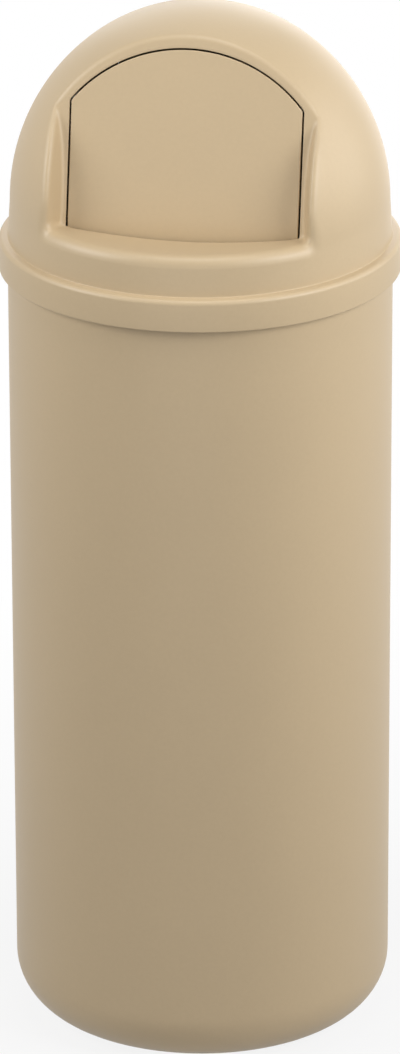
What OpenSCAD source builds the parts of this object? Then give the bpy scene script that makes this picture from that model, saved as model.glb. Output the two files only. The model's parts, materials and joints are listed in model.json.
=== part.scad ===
// Round dome-top waste bin with a spring-return push door and a lift-out liner.
// Millimetres, +Z up, origin on the floor under the middle of the base, door facing -Y.
// Left and right are as seen by someone facing the door.

/* [Body shell] */
// Height of the body from the floor to its rim
body_h = 827; // [700:1:1000]
// Outer radius of the body at its rim
body_top_r = 191.4; // [170:0.2:215]
// How much narrower the body is at its foot
body_taper = 1.4; // [0.4:0.2:6]
// Wall of the body shell
body_wall = 4; // [3:0.5:5]
// Radius of the rolled edge between the wall and the base
base_edge_r = 58; // [45:1:70]
// Height of the bead around the body's rim
rim_bead_h = 8; // [5:0.5:12]
// How far that bead stands out
rim_bead_out = 3.2; // [2:0.1:3.4]

/* [Base underside] */
// Width of the flat ring that the bin stands on
foot_ring_w = 32; // [24:1:44]
// Depth of that hollow
foot_recess_h = 7; // [5:0.5:10]
// Number of stiffening ribs in the hollow
base_ribs = 8; // [4:1:12]
// Thickness of a rib
base_rib_t = 3.5; // [2.5:0.5:5]
// How far the ribs stop short of the floor
base_rib_lift = 2; // [1:0.5:3]
// Radius of the hub where the ribs meet
base_hub_r = 14; // [10:1:20]

/* [Dome and collar] */
// How far the dome's skirt narrows up to its spring line
skirt_taper = 2; // [1:0.2:4]
// How much higher the dome is than a half ball on its spring line
dome_extra = 9.8; // [8:0.2:12]
// Wall of the dome top
dome_wall = 4; // [3:0.5:4.5]
// Gap between the collar and the bead around the body's rim
collar_gap = 1.4; // [1:0.1:2.4]
// How far the collar hangs below the body's rim
collar_drop = 29; // [20:1:40]
// How far the collar's shoulder rises above the body's rim
collar_rise = 8; // [7:0.5:12]
// Height of the sloping shoulder on top of the collar
shoulder_h = 4; // [3:0.5:5]
// Radius of the collar's upper outer edge
crest_r = 5; // [3:0.5:6]
// Radius of the collar's lower outer edge
collar_lip_r = 1.2; // [0.6:0.2:2]
// How far the skirt stands in from the body's wall
skirt_in = 0.8; // [0.4:0.1:2]
// Height of the skirt between the collar and the spring line
skirt_h = 32; // [26:1:45]

/* [Door recess] */
// Depth of the recess face below the dome's surface, square to the face
face_inset = 86.3; // [80:0.5:92]
// How far the recess face leans back
face_lean = 13.5; // [11:0.5:15]
// How far each side of the recess lies in from the dome's side
recess_side_in = 58.6; // [54:0.2:64]
// Draft of the recess side walls
wall_draft = 14.5; // [12:0.5:16]
// Radius of the rolled lip at the front of the sill
sill_lip_r = 8; // [6:0.5:10]
// How far the middle of the sill lip lies below the spring line
sill_drop = 3.8; // [2:0.2:6]
// Rise of the sill towards its lip
sill_pitch = 9.1; // [5:0.5:12]
// How far each side of the opening lies in from the recess's side
jamb_w = 13.7; // [12:0.1:18]
// Width of the face above the top of the opening
arch_band = 11.89; // [10:0.01:16]
// Height of the arch's centre above the foot of the face
arch_centre_v = 7.6; // [5:0.2:9]
// Radius of the opening's upper corners
opening_corner_r = 8; // [5:0.5:12]
// Thickness of the stop flange that hangs from the sill
stop_flange_t = 4; // [3:0.5:5]
// Gap between the stop flange and the plane of the door's face
stop_flange_gap = 0.8; // [0.6:0.1:1.2]
// How far the stop flange hangs below the sill
stop_flange_drop = 17; // [15:0.5:20]

/* [Push door] */
// Gap all round between the door and its opening
door_gap = 1.8; // [1.4:0.1:2.4]
// Thickness of the door's panel
door_t = 4; // [3:0.5:5]
// How far the door reaches down behind the sill
door_lip = 12; // [9:0.5:14]
// Radius of the bend along the door's foot
door_bend_r = 150; // [120:5:200]
// Height of the bend above the sill
door_bend_h = 22; // [15:1:30]
// Thickness of the ribs behind the door
door_rib_t = 2.5; // [2:0.5:3.5]
// Depth of the ribs behind the door
door_rib_d = 8; // [6:0.5:9]
// Radius of the knuckles that carry the rod
knuckle_r = 7.5; // [6.5:0.5:8.5]
// Width of a knuckle
knuckle_w = 10; // [8:0.5:14]
// Distance of the inner knuckles from the middle
inner_knuckle_u = 24; // [18:1:32]
// How far the outer knuckles lie in from the door's sides
knuckle_inset = 10.5; // [10:0.5:18]

/* [Hinge] */
// Height of the rod's axis above the shoulders of the opening
hinge_rise = 5.65; // [3:0.05:9]
// Distance of the rod's axis behind the door's face
hinge_back = 16; // [15:0.5:18]
// Radius of the hinge rod
rod_r = 3; // [2.5:0.25:3.5]
// Clearance between the rod and what it turns in
rod_clear = 0.05; // [0.02:0.01:0.08]
// How far the rod stands out past each bracket
rod_overhang = 4; // [3:0.5:6]
// Thickness of the bracket's sheet
bracket_t = 3; // [2.5:0.5:3.5]
// How far the bracket's ear stands outside the opening's side
bracket_gap = 1.3; // [1.1:0.1:2.5]
// Width of the bracket's foot
bracket_foot_w = 10.5; // [10:0.5:12]
// Length of the bracket's foot
bracket_foot_l = 42; // [38:1:48]
// Gap between the bracket's foot and the push nut
foot_nut_gap = 1.5; // [1:0.1:3]
// Radius of the ear around the rod
ear_r = 9; // [8:0.5:10]
// Height of the bosses that the brackets are screwed to
boss_h = 8; // [7:0.5:9]
// Radius of those bosses
boss_r = 4.2; // [3.8:0.2:4.6]
// Distance between a bracket's two screws
screw_pitch = 26; // [22:1:30]
// Radius of a bracket screw's shank
screw_r = 1.6; // [1.4:0.1:2]
// Length of a bracket screw under its head
screw_l = 9; // [8:0.5:9.5]
// Radius of a bracket screw's head
screw_head_r = 3.3; // [2.8:0.1:3.5]
// Outer radius of a rod bushing
bushing_r = 4.8; // [4.4:0.2:5.4]
// Radius of a bushing's flange
bushing_flange_r = 7; // [6.5:0.25:8]
// Thickness of a bushing's flange
bushing_flange_t = 1.2; // [1:0.1:1.4]
// Outer radius of a rod spacer
spacer_r = 5.4; // [4.8:0.2:6]
// Radius of a push nut on the rod's end
push_nut_r = 6; // [5:0.5:7]
// Thickness of a push nut
push_nut_t = 1.4; // [1:0.1:1.8]

/* [Door springs] */
// Diameter of the spring wire
spring_wire_d = 1.6; // [1.4:0.1:1.8]
// Mean radius of the coil
spring_coil_r = 5.6; // [5.4:0.1:5.9]
// Full turns of a coil
spring_turns = 6; // [4:1:9]
// Rise of the coil for each turn
spring_pitch = 2.1; // [2.05:0.05:2.4]
// Distance from the outer knuckle to the leg that bears on the dome
spring_inset = 29; // [27:1:39]
// Length of the leg that bears on the door
spring_door_leg = 45; // [35:1:55]
// How far the leg that bears on the dome reaches past the opening's edge
spring_bear = 6.5; // [5:0.5:9]

/* [Door stop pads] */
// Radius of a rubber stop pad
pad_r = 4; // [3:0.25:4.5]
// How far the outer pads lie in from the sides of the opening
pad_inset = 28.3; // [20:0.1:45]

/* [Liner] */
// Gap between the liner's rim and the body's wall
liner_gap = 7.4; // [5:0.2:12]
// How much narrower the liner is at its foot
liner_taper = 4; // [2:0.5:9]
// How far the liner's rim lies below the body's rim
liner_below_rim = 21; // [18:1:60]
// Wall of the liner
liner_wall = 2.5; // [2:0.25:3]
// How much tighter the liner's bottom edge is than the body's
liner_edge_less = 2; // [0:0.5:8]
// Length of the straight part below the liner's rim
liner_straight = 106; // [90:1:130]
// How far the liner's rim stands out
liner_rim_out = 7; // [6:0.5:8]
// Height of the rim's turned-down skirt
liner_rim_h = 11; // [9:0.5:13]

/* [Bag band] */
// Thickness of the rubber band that grips a bag
band_t = 2; // [1.5:0.25:3]
// Width of the band
band_w = 9; // [7:0.5:10]
// Gap between the band and the underside of the rim's skirt
band_below_rim = 3; // [2:0.5:4]

/* [Liner handles] */
// How far the handle's pivot lies in from the liner's wall
handle_inset = 18.5; // [17.5:0.5:22]
// Depth of the pivot below the liner's rim
handle_pivot_drop = 40; // [38:0.5:46]
// Radius of the handle's wire
handle_wire_r = 3; // [2.5:0.25:3.25]
// Length of the handle's legs
handle_drop = 48; // [42:1:60]
// Radius of the bends beside the grip
handle_bend_r = 10; // [8:0.5:12]
// Radius of the bends beside the pivots
handle_elbow_r = 5; // [4:0.5:6]
// Radius of the grip sleeve
grip_r = 6.5; // [5.5:0.25:7.5]
// Length of the grip sleeve
grip_l = 60; // [52:1:64]
// Distance of the ears from the handle's middle
ear_y = 58; // [57:0.5:60]
// Width of a handle ear
ear_w = 13; // [11:0.5:14]
// Height of a handle ear
ear_h = 30; // [28:0.5:34]
// How far a handle ear stands in from the liner's wall
ear_depth = 16; // [14.5:0.5:18]
// Distance between an ear's two rivets
rivet_pitch = 17; // [15:0.5:19]
// Radius of a rivet's shank
rivet_r = 2; // [1.75:0.25:2.25]
// Radius of a rivet's head
rivet_head_r = 4; // [3.5:0.25:4.5]
// Height of a rivet's head
rivet_head_h = 1.6; // [1.2:0.1:2]

/* [Hidden] */

// Overlap that makes cuts and joints clean
eps = 0.5;
// Gap at rest between pieces that touch in use
seat_gap = 0.3;
// Longer than any piece, for half planes and half spaces
far = 600;
left = -1;
right = 1;

beige = [0.765, 0.694, 0.592];
zinc = [0.72, 0.73, 0.74];
nylon = [0.92, 0.91, 0.87];
black_rubber = [0.10, 0.10, 0.10];
liner_grey = [0.36, 0.37, 0.38];

// Heights that stack up from the floor
collar_z = body_h - collar_drop;
shoulder_z = body_h + collar_rise;
crest_z = shoulder_z - shoulder_h - crest_r;
spring_z = shoulder_z + skirt_h;
floor_z = body_wall + foot_recess_h;
liner_rim_z = body_h - liner_below_rim;
pivot_z = liner_rim_z - handle_pivot_drop;

// Radii that follow the body's rim
body_foot_r = body_top_r - body_taper;
foot_recess_r = body_foot_r - base_edge_r - foot_ring_w;
collar_r = body_top_r + rim_bead_out + collar_gap + dome_wall;
skirt_r = body_top_r - skirt_in;
dome_r = skirt_r - skirt_taper;
liner_r = body_top_r - body_wall - liner_gap - liner_rim_out;
liner_foot_r = liner_r - liner_taper;
liner_bore_r = liner_r - liner_wall;
liner_edge_r = base_edge_r - liner_edge_less;
handle_x = liner_bore_r - handle_inset;

// The dome is an oval of two arcs whose centres are 2.5 times the extra height apart,
// along a line with a slope of 4 to 3, so that the arcs meet smoothly
crown_r = dome_r - dome_extra;
crown_rise = 2 * dome_extra;
side_centre = -1.5 * dome_extra;
side_r = dome_r - side_centre;
joint_x = 0.6;
joint_y = 0.8;

// Foot of the square from the dome's centre to the recess face
face_dist = dome_r - face_inset;
face_n = face_dist * cos(face_lean);
face_z = spring_z + face_dist * sin(face_lean);

// Top of the circle in which the face cuts the crown, along the face
face_top_v = crown_rise * cos(face_lean)
    + sqrt(pow(crown_r, 2) - pow(face_dist - crown_rise * sin(face_lean), 2));
recess_half_w = dome_r - recess_side_in;
opening_half_w = recess_half_w - jamb_w;
opening_arch_r = face_top_v - arch_band - arch_centre_v;
// Where the opening's upright sides end
shoulder_v = arch_v(opening_half_w - opening_corner_r, opening_arch_r - opening_corner_r);

// The sill is a cone that meets its rolled lip smoothly
lip_centre_z = spring_z - sill_drop;
lip_centre_r = dome_r + sill_drop * (skirt_r - dome_r) / skirt_h - sill_lip_r + 0.12;
// Height of the sill cone's tip
sill_tip_z = lip_centre_z - lip_centre_r * tan(sill_pitch) + (sill_lip_r - 0.05) / cos(sill_pitch);
// Where the sill meets the recess face, along the face
sill_v = (sill_tip_z + face_n * tan(sill_pitch) - face_z)
    / (cos(face_lean) + tan(sill_pitch) * sin(face_lean));

door_low_v = sill_v - door_lip;
bend_v = sill_v + door_bend_h;
door_half_w = opening_half_w - door_gap;
door_arch_r = opening_arch_r - door_gap;
door_corner_r = opening_corner_r - door_gap;
outer_knuckle_u = door_half_w - knuckle_inset;
pad_u = opening_half_w - pad_inset;

// Places on the face: v runs up the face, w out of it, u to the right
hinge_v = shoulder_v + hinge_rise;
hinge_w = -hinge_back;
boss_top_w = -dome_wall - boss_h;
foot_back_w = boss_top_w - bracket_t;
bracket_u = opening_half_w + bracket_gap;
bracket_foot_v = hinge_v - push_nut_r - foot_nut_gap - bracket_foot_l;
screw_u = bracket_u + (bracket_foot_w + bracket_t) / 2;
screw_v = [bracket_foot_v + (bracket_foot_l - screw_pitch) / 2,
           bracket_foot_v + (bracket_foot_l + screw_pitch) / 2];
rod_half_l = bracket_u + bracket_t + rod_overhang;
knuckle_places = [-outer_knuckle_u, -inner_knuckle_u, inner_knuckle_u, outer_knuckle_u];
pad_v = sill_v - stop_flange_drop + pad_r + 4;
// The pads reach from the stop flange to the door's bent foot
pad_t = stop_flange_gap - seat_gap - door_face_w(pad_v + pad_r);

// Height on the face of a circle about the arch's centre, at a distance u from the middle
function arch_v(u, r) = arch_centre_v + sqrt(pow(r, 2) - pow(u, 2));

// Radius of the dome's outside at a height above the spring line
function dome_at(h) = h > crown_rise + crown_r * joint_y
    ? sqrt(max(0, pow(crown_r, 2) - pow(h - crown_rise, 2)))
    : side_centre + sqrt(pow(side_r, 2) - pow(h, 2));

// How far forward the dome's outside lies at a distance u from the middle
function dome_n(u, h) = sqrt(max(0, pow(dome_at(h), 2) - pow(u, 2)));

// How far in front of the recess face the door's face lies
function door_face_w(v) = v > bend_v ? 0
    : sqrt(pow(door_bend_r, 2) - pow(v - bend_v, 2)) - door_bend_r;

function unit(v) = v / norm(v);

// Puts its children on the recess face: x is u, y is v, z is w
module on_face() {
    translate([0, -face_n, face_z]) rotate([90 - face_lean, 0, 0]) children();
}

// Runs a profile drawn as (w, v) along u on the face
module across_face(half) {
    rotate([0, -90, 0]) linear_extrude(2 * half, center = true) children();
}

// Revolves a section with true round faces
module turned(n = 120) {
    rotate_extrude($fn = n) children();
}

// A cylinder along u on the face, from u0 to u1
module along_u(u0, u1, r, n = 40) {
    translate([u0, 0, 0]) rotate([0, 90, 0]) cylinder(h = u1 - u0, r = r, $fn = n);
}

// Body shell

module body_outline(inset, top) {
    foot = body_foot_r - inset;
    difference() {
        polygon([[0, inset], [foot, inset], [foot, base_edge_r], [body_top_r - inset, top], [0, top]]);
        translate([body_foot_r - base_edge_r, inset]) difference() {
            square([base_edge_r + eps, base_edge_r - inset]);
            translate([0, base_edge_r - inset]) circle(base_edge_r - inset, $fn = 96);
        }
    }
}

module rim_bead_section() {
    out_r = body_top_r + rim_bead_out;
    round_r = rim_bead_h / 4;
    difference() {
        translate([body_top_r - body_wall / 2, body_h - rim_bead_h])
            square([rim_bead_out + body_wall / 2, rim_bead_h]);
        for (z = [body_h - rim_bead_h, body_h - round_r]) {
            up = z > body_h - rim_bead_h ? 0 : round_r;
            translate([out_r - round_r, z]) difference() {
                square([round_r + eps, round_r]);
                translate([0, up]) circle(round_r, $fn = 32);
            }
        }
    }
}

module base_rib(angle) {
    rotate([0, 0, angle]) translate([0, -base_rib_t / 2, base_rib_lift])
        cube([foot_recess_r + eps, base_rib_t, foot_recess_h - base_rib_lift + eps]);
}

module body_shell() {
    color(beige) {
        turned() {
            difference() {
                body_outline(0, body_h);
                body_outline(body_wall, body_h + 2);
                translate([0, -eps]) square([foot_recess_r, foot_recess_h + eps]);
            }
            difference() {
                square([foot_recess_r + body_wall, floor_z]);
                translate([-eps, -eps]) square([foot_recess_r + eps, foot_recess_h + eps]);
            }
            rim_bead_section();
        }
        for (i = [0 : base_ribs - 1]) base_rib(i * 360 / base_ribs);
        translate([0, 0, base_rib_lift])
            cylinder(h = foot_recess_h - base_rib_lift + eps, r = base_hub_r, $fn = 48);
    }
}

// Dome top

// Everything on the crown's side of the line through the two arc centres
module crown_sector() {
    polygon([[0, crown_rise], [far * joint_x, crown_rise + far * joint_y], [0, 2 * far]]);
}

module side_sector() {
    polygon([[0, 0], [far, 0], [far * joint_x, crown_rise + far * joint_y], [0, crown_rise]]);
}

module dome_section(inset) {
    translate([0, spring_z]) {
        intersection() {
            translate([0, crown_rise]) circle(crown_r - inset, $fn = 180);
            crown_sector();
        }
        intersection() {
            translate([side_centre, 0]) circle(side_r - inset, $fn = 180);
            side_sector();
        }
    }
}

module collar_section() {
    slope_angle = 55;
    inside_r = crest_r - 0.05;
    tip = [collar_r - crest_r + inside_r * cos(slope_angle), crest_z + inside_r * sin(slope_angle)];
    lip = collar_lip_r;
    polygon([[0, collar_z], [collar_r - lip, collar_z], [collar_r - lip, collar_z + lip],
             [collar_r, collar_z + lip], [collar_r, crest_z], [collar_r - crest_r, crest_z],
             tip, [skirt_r, shoulder_z], [0, shoulder_z]]);
    translate([collar_r - crest_r, crest_z]) circle(crest_r, $fn = 48);
    translate([collar_r - lip, collar_z + lip]) circle(lip, $fn = 32);
}

module dome_outside() {
    turned() {
        dome_section(0);
        polygon([[0, shoulder_z], [skirt_r, shoulder_z], [dome_r, spring_z], [0, spring_z]]);
        collar_section();
    }
}

module dome_hollow() {
    turned() {
        dome_section(dome_wall);
        polygon([[0, body_h], [skirt_r - dome_wall, body_h], [skirt_r - dome_wall, shoulder_z],
                 [dome_r - dome_wall, spring_z], [0, spring_z]]);
        translate([0, collar_z - eps]) square([collar_r - dome_wall, collar_drop + eps]);
    }
}

// All that lies under the sill's surface
module under_sill(inset) {
    drop = inset / cos(sill_pitch);
    low = collar_z - far / 4;
    touch_r = lip_centre_r - (sill_lip_r - inset) * sin(sill_pitch);
    turned() {
        polygon([[0, low], [far / 2, low], [far / 2, lip_centre_z], [touch_r, lip_centre_z],
                 [touch_r, sill_tip_z + touch_r * tan(sill_pitch) - drop],
                 [0, sill_tip_z - drop]]);
        translate([lip_centre_r, lip_centre_z]) circle(sill_lip_r - inset, $fn = 64);
    }
}

// A prism that ends at one drafted side wall of the recess
module side_wall_prism(side, outset) {
    steps = 14;
    top_h = face_z + opening_arch_r * cos(face_lean) - spring_z;
    corner_h = face_z - spring_z + arch_v(opening_half_w, opening_arch_r) * cos(face_lean);
    function edge(h) = recess_half_w * cos(wall_draft)
        - dome_n(recess_half_w, min(h, corner_h)) * sin(wall_draft) + outset;
    low = -skirt_h;
    from_h = -3;
    function step_h(i) = from_h + (corner_h - from_h) * i / steps;
    mirror([side == left ? 1 : 0, 0, 0]) rotate([0, 0, wall_draft]) rotate([90, 0, 0])
        linear_extrude(far) translate([0, spring_z])
            polygon(concat([[-far, low], [edge(from_h), low]],
                [for (i = [0 : steps]) [edge(step_h(i)), step_h(i)]],
                [[edge(corner_h), top_h + far], [-far, top_h + far]]));
}

// The air in front of the recess face, or that air grown by the wall
module recess_air(outset) {
    difference() {
        intersection() {
            on_face() translate([-far / 2, -far / 2, -outset]) cube([far, far, far / 2]);
            side_wall_prism(left, outset);
            side_wall_prism(right, outset);
        }
        under_sill(outset);
    }
}

// Outline of the opening, or of the door when inset by the gap
module arch_outline(half, arch, corner, low) {
    fillet_u = half - corner;
    fillet_v = arch_v(fillet_u, arch - corner);
    away = [fillet_u, fillet_v - arch_centre_v] * (arch + 20) / (arch - corner)
        + [0, arch_centre_v];
    difference() {
        intersection() {
            translate([0, arch_centre_v]) circle(arch, $fn = 240);
            translate([-half, low]) square([2 * half, far]);
        }
        for (side = [left, right]) {
            mirror([side == left ? 1 : 0, 0]) difference() {
                polygon([[fillet_u, fillet_v], [half + 20, fillet_v], [half + 20, away[1]], away]);
                translate([fillet_u, fillet_v]) circle(corner + 0.02, $fn = 48);
            }
        }
    }
}

module door_opening() {
    depth = dome_wall + boss_h;
    on_face() translate([0, 0, -depth]) linear_extrude(depth + stop_flange_gap)
        arch_outline(opening_half_w, opening_arch_r, opening_corner_r, sill_v - 40);
}

module stop_flange() {
    intersection() {
        on_face() translate([-opening_half_w, sill_v - stop_flange_drop, stop_flange_gap])
            cube([2 * opening_half_w, stop_flange_drop + 30, stop_flange_t]);
        under_sill(dome_wall / 2);
    }
}

module bracket_boss(side, v) {
    on_face() translate([side * screw_u, v, boss_top_w])
        cylinder(h = boss_h + dome_wall / 2, r = boss_r, $fn = 40);
}

module bracket_pilot(side, v) {
    on_face() translate([side * screw_u, v, boss_top_w - eps])
        cylinder(h = screw_l + eps, r = screw_r, $fn = 32);
}

module dome_top() {
    color(beige) difference() {
        union() {
            difference() {
                dome_outside();
                recess_air(0);
                difference() {
                    dome_hollow();
                    recess_air(dome_wall);
                }
                door_opening();
            }
            stop_flange();
            for (side = [left, right], v = screw_v) bracket_boss(side, v);
        }
        for (side = [left, right], v = screw_v) bracket_pilot(side, v);
    }
}

// Push door

// The door's panel seen from its edge: flat, with a foot that bends back
module door_profile(depth_out, depth_in) {
    translate([-depth_in, bend_v]) square([depth_in - depth_out, far]);
    intersection() {
        translate([-door_bend_r, bend_v]) difference() {
            circle(door_bend_r - depth_out, $fn = 360);
            circle(door_bend_r - depth_in, $fn = 360);
        }
        translate([-far, door_low_v]) square([far + eps, bend_v - door_low_v + 0.01]);
        translate([-door_bend_r, -far]) square([far, 2 * far]);
    }
}

module door_panel() {
    intersection() {
        translate([0, 0, -far / 2]) linear_extrude(far)
            arch_outline(door_half_w, door_arch_r, door_corner_r, door_low_v);
        across_face(door_half_w + eps) door_profile(0, door_t);
    }
}

// Upright ribs that run down from the knuckles, tied by ribs across the door
module door_ribs() {
    low = door_low_v + 2;
    top = hinge_v - spring_door_leg - door_rib_t - 4;
    intersection() {
        union() {
            for (u = knuckle_places)
                translate([u - door_rib_t / 2, low, -far / 4])
                    cube([door_rib_t, hinge_v - knuckle_r - low + 2, far / 2]);
            for (v = [low, (low + top) / 2, top])
                translate([-outer_knuckle_u, v, -far / 4])
                    cube([2 * outer_knuckle_u, door_rib_t, far / 2]);
        }
        across_face(door_half_w) door_profile(door_t - 0.5, door_t + door_rib_d);
    }
}

module door_knuckle(u) {
    reach = 0.9 * knuckle_r;
    translate([u + knuckle_w / 2, 0, 0]) rotate([0, -90, 0]) linear_extrude(knuckle_w) {
        translate([hinge_w, hinge_v]) circle(knuckle_r, $fn = 48);
        translate([hinge_w, hinge_v - reach]) square([hinge_back - door_t + 0.5, 1.4 * reach]);
    }
}

module push_door() {
    color(beige) on_face() difference() {
        union() {
            door_panel();
            door_ribs();
            for (u = knuckle_places) door_knuckle(u);
        }
        translate([0, hinge_v, hinge_w]) along_u(-door_half_w, door_half_w, rod_r + rod_clear);
    }
}

// Hinge

module at_rod() {
    on_face() translate([0, hinge_v, hinge_w]) children();
}

module one_side(side) {
    mirror([side == left ? 1 : 0, 0, 0]) children();
}

module hinge_rod() {
    color(zinc) at_rod() along_u(-rod_half_l, rod_half_l, rod_r, 48);
}

// Folded sheet: a foot on the bosses and an ear that carries the bushing
module hinge_bracket(side) {
    color(zinc) one_side(side) on_face() {
        translate([0, 0, foot_back_w]) linear_extrude(bracket_t) difference() {
            translate([bracket_u, bracket_foot_v]) square([bracket_foot_w, bracket_foot_l]);
            for (v = screw_v) translate([screw_u, v]) circle(screw_r + 0.3, $fn = 32);
        }
        translate([bracket_u + bracket_t, 0, 0]) rotate([0, -90, 0])
            linear_extrude(bracket_t) difference() {
                union() {
                    polygon([[boss_top_w, bracket_foot_v], [boss_top_w, hinge_v],
                             [hinge_w - ear_r * 0.6, hinge_v], [foot_back_w - 2, bracket_foot_v]]);
                    translate([hinge_w, hinge_v]) circle(ear_r, $fn = 48);
                }
                translate([hinge_w, hinge_v]) circle(bushing_r + rod_clear, $fn = 48);
            }
    }
}

module bracket_screw() {
    head_h = screw_head_r * 0.6;
    translate([0, 0, foot_back_w - head_h]) {
        intersection() {
            cylinder(h = head_h, r = screw_head_r, $fn = 40);
            translate([0, 0, screw_head_r * 1.15]) sphere(screw_head_r * 1.3, $fn = 48);
        }
        cylinder(h = head_h + bracket_t + screw_l - 1.5, r = screw_r - 0.05, $fn = 32);
    }
}

module bracket_screws() {
    color(zinc) on_face() for (side = [left, right], v = screw_v)
        translate([side * screw_u, v, 0]) bracket_screw();
}

module rod_bushing(side) {
    color(nylon) one_side(side) at_rod() difference() {
        union() {
            along_u(bracket_u - bushing_flange_t, bracket_u, bushing_flange_r);
            along_u(bracket_u - eps, bracket_u + bracket_t, bushing_r);
        }
        along_u(bracket_u - 5, bracket_u + bracket_t + 5, rod_r + rod_clear);
    }
}

module rod_spacer(side) {
    from_u = outer_knuckle_u + knuckle_w / 2 + seat_gap;
    to_u = bracket_u - bushing_flange_t - seat_gap;
    color(nylon) one_side(side) at_rod() difference() {
        along_u(from_u, to_u, spacer_r);
        along_u(from_u - 1, to_u + 1, rod_r + rod_clear);
    }
}

// A sprung washer with a shallow dish, pushed on each end of the rod
module rod_push_nuts() {
    out_u = bracket_u + bracket_t + seat_gap;
    color(zinc) for (side = [left, right]) one_side(side) at_rod() difference() {
        union() {
            along_u(out_u, out_u + push_nut_t * 0.6, push_nut_r);
            translate([out_u + push_nut_t * 0.6 - 0.01, 0, 0]) rotate([0, 90, 0])
                cylinder(h = push_nut_t * 0.4, r1 = push_nut_r, r2 = push_nut_r - 1.5, $fn = 40);
        }
        along_u(out_u - 1, out_u + push_nut_t + 1, rod_r);
    }
}

// Door springs

// Where a straight leg from a point touches the coil
function touch_angle(p, way) = atan2(p[1], p[0]) + way * acos(spring_coil_r / norm(p));

spring_u = outer_knuckle_u - knuckle_w / 2 - spring_inset;
spring_dome_leg = arch_v(spring_u, opening_arch_r) + spring_bear - hinge_v;
spring_bear_w = hinge_back - door_t - spring_wire_d / 2 - seat_gap;
dome_leg_tip = [spring_dome_leg, hinge_back - dome_wall - spring_wire_d / 2 - seat_gap];
door_leg_tip = [-spring_door_leg, spring_bear_w];
coil_from = touch_angle(dome_leg_tip, 1);
coil_to = touch_angle(door_leg_tip, -1) + 360 * spring_turns;
spring_steps = 14 * spring_turns;
spring_sides = 6;

// Route of the wire as (u, v, w) about the rod: leg, coil, leg
spring_route = concat(
    [[0, dome_leg_tip[0], dome_leg_tip[1]]],
    [for (i = [0 : spring_steps])
        let (a = coil_from + (coil_to - coil_from) * i / spring_steps)
        [-spring_pitch * spring_turns * i / spring_steps,
         spring_coil_r * cos(a), spring_coil_r * sin(a)]],
    [[-spring_pitch * spring_turns, door_leg_tip[0], door_leg_tip[1]]]);

function spring_heading(i) = unit(
    spring_route[min(i + 1, len(spring_route) - 1)] - spring_route[max(i - 1, 0)]);

function spring_ring(i) =
    let (t = spring_heading(i), b = unit(cross(t, [1, 0, 0])), n = cross(b, t))
    [for (k = [0 : spring_sides - 1])
        spring_route[i] + spring_wire_d / 2
            * (cos(360 * k / spring_sides) * b + sin(360 * k / spring_sides) * n)];

module spring_wire() {
    rings = len(spring_route);
    points = [for (i = [0 : rings - 1]) each spring_ring(i)];
    sides = [for (i = [0 : rings - 2], k = [0 : spring_sides - 1])
        let (a = i * spring_sides + k, b = i * spring_sides + (k + 1) % spring_sides)
        each [[a, b, a + spring_sides], [b, b + spring_sides, a + spring_sides]]];
    last = (rings - 1) * spring_sides;
    first_cap = [for (k = [1 : spring_sides - 2]) [0, k + 1, k]];
    last_cap = [for (k = [1 : spring_sides - 2]) [last, last + k, last + k + 1]];
    polyhedron(points, concat(sides, first_cap, last_cap));
}

module door_spring(side) {
    color(zinc) one_side(side) at_rod() translate([spring_u, 0, 0]) spring_wire();
}

// Rubber pads on the back of the stop flange, where the door's foot comes to rest
module door_stop_pads() {
    color(black_rubber) on_face() for (u = [-pad_u, 0, pad_u])
        translate([u, pad_v, stop_flange_gap - pad_t]) cylinder(h = pad_t, r = pad_r, $fn = 40);
}

// Liner

module liner_outline(inset, top) {
    foot = liner_foot_r - inset;
    wall = liner_r - inset;
    low = floor_z + inset;
    edge = liner_edge_r - inset;
    difference() {
        polygon([[0, low], [foot, low], [foot, low + edge],
                 [wall, liner_rim_z - liner_straight], [wall, top], [0, top]]);
        translate([foot - edge, low]) difference() {
            square([edge + eps, edge]);
            translate([0, edge]) circle(edge, $fn = 96);
        }
    }
}

module inner_liner() {
    color(liner_grey) difference() {
        liner_body();
        for (side = [left, right], up = [0, 1]) one_side(side) mirror([0, up, 0]) ear_rivet_holes();
    }
}

module liner_body() {
    rim_r = liner_r + liner_rim_out;
    turned() {
        difference() {
            liner_outline(0, liner_rim_z);
            liner_outline(liner_wall, liner_rim_z + 2);
        }
        translate([liner_r - liner_wall, liner_rim_z - liner_wall])
            square([liner_rim_out + liner_wall - 1, liner_wall]);
        translate([rim_r - liner_wall, liner_rim_z - liner_rim_h])
            square([liner_wall, liner_rim_h - 1]);
        translate([rim_r - 1, liner_rim_z - 1]) circle(1, $fn = 32);
        translate([rim_r - liner_wall, liner_rim_z - liner_wall])
            square([liner_wall - 1, liner_wall]);
    }
}

module bag_band() {
    band_top = liner_rim_z - liner_rim_h - band_below_rim;
    color(black_rubber) turned() {
        translate([liner_r, band_top - band_w + band_t / 2]) square([band_t, band_w - band_t]);
        for (z = [band_top - band_w + band_t / 2, band_top - band_t / 2])
            translate([liner_r + band_t / 2, z]) circle(band_t / 2, $fn = 32);
        translate([liner_r, band_top - band_w]) square([band_t / 2, band_w]);
    }
}

// Liner handles

// The legs stand just inside the ears' inner corners
ear_angle = atan2(ear_y, handle_x);
handle_half_w = (liner_bore_r - ear_depth) * sin(ear_angle) - ear_w / 2 * cos(ear_angle)
    - handle_elbow_r - 1;

module wire_y(x, y0, y1, z, r) {
    translate([x, y0, z]) rotate([-90, 0, 0]) cylinder(h = y1 - y0, r = r, $fn = 40);
}

// A quarter bend of wire in a plane that holds Y and Z, from angle a to a + 90
module wire_bend(y, z, bend_r, a) {
    translate([handle_x, y, z]) rotate([90, 0, 90]) rotate_extrude(angle = 90, start = a, $fn = 96)
        translate([bend_r, 0]) circle(handle_wire_r, $fn = 40);
}

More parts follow.
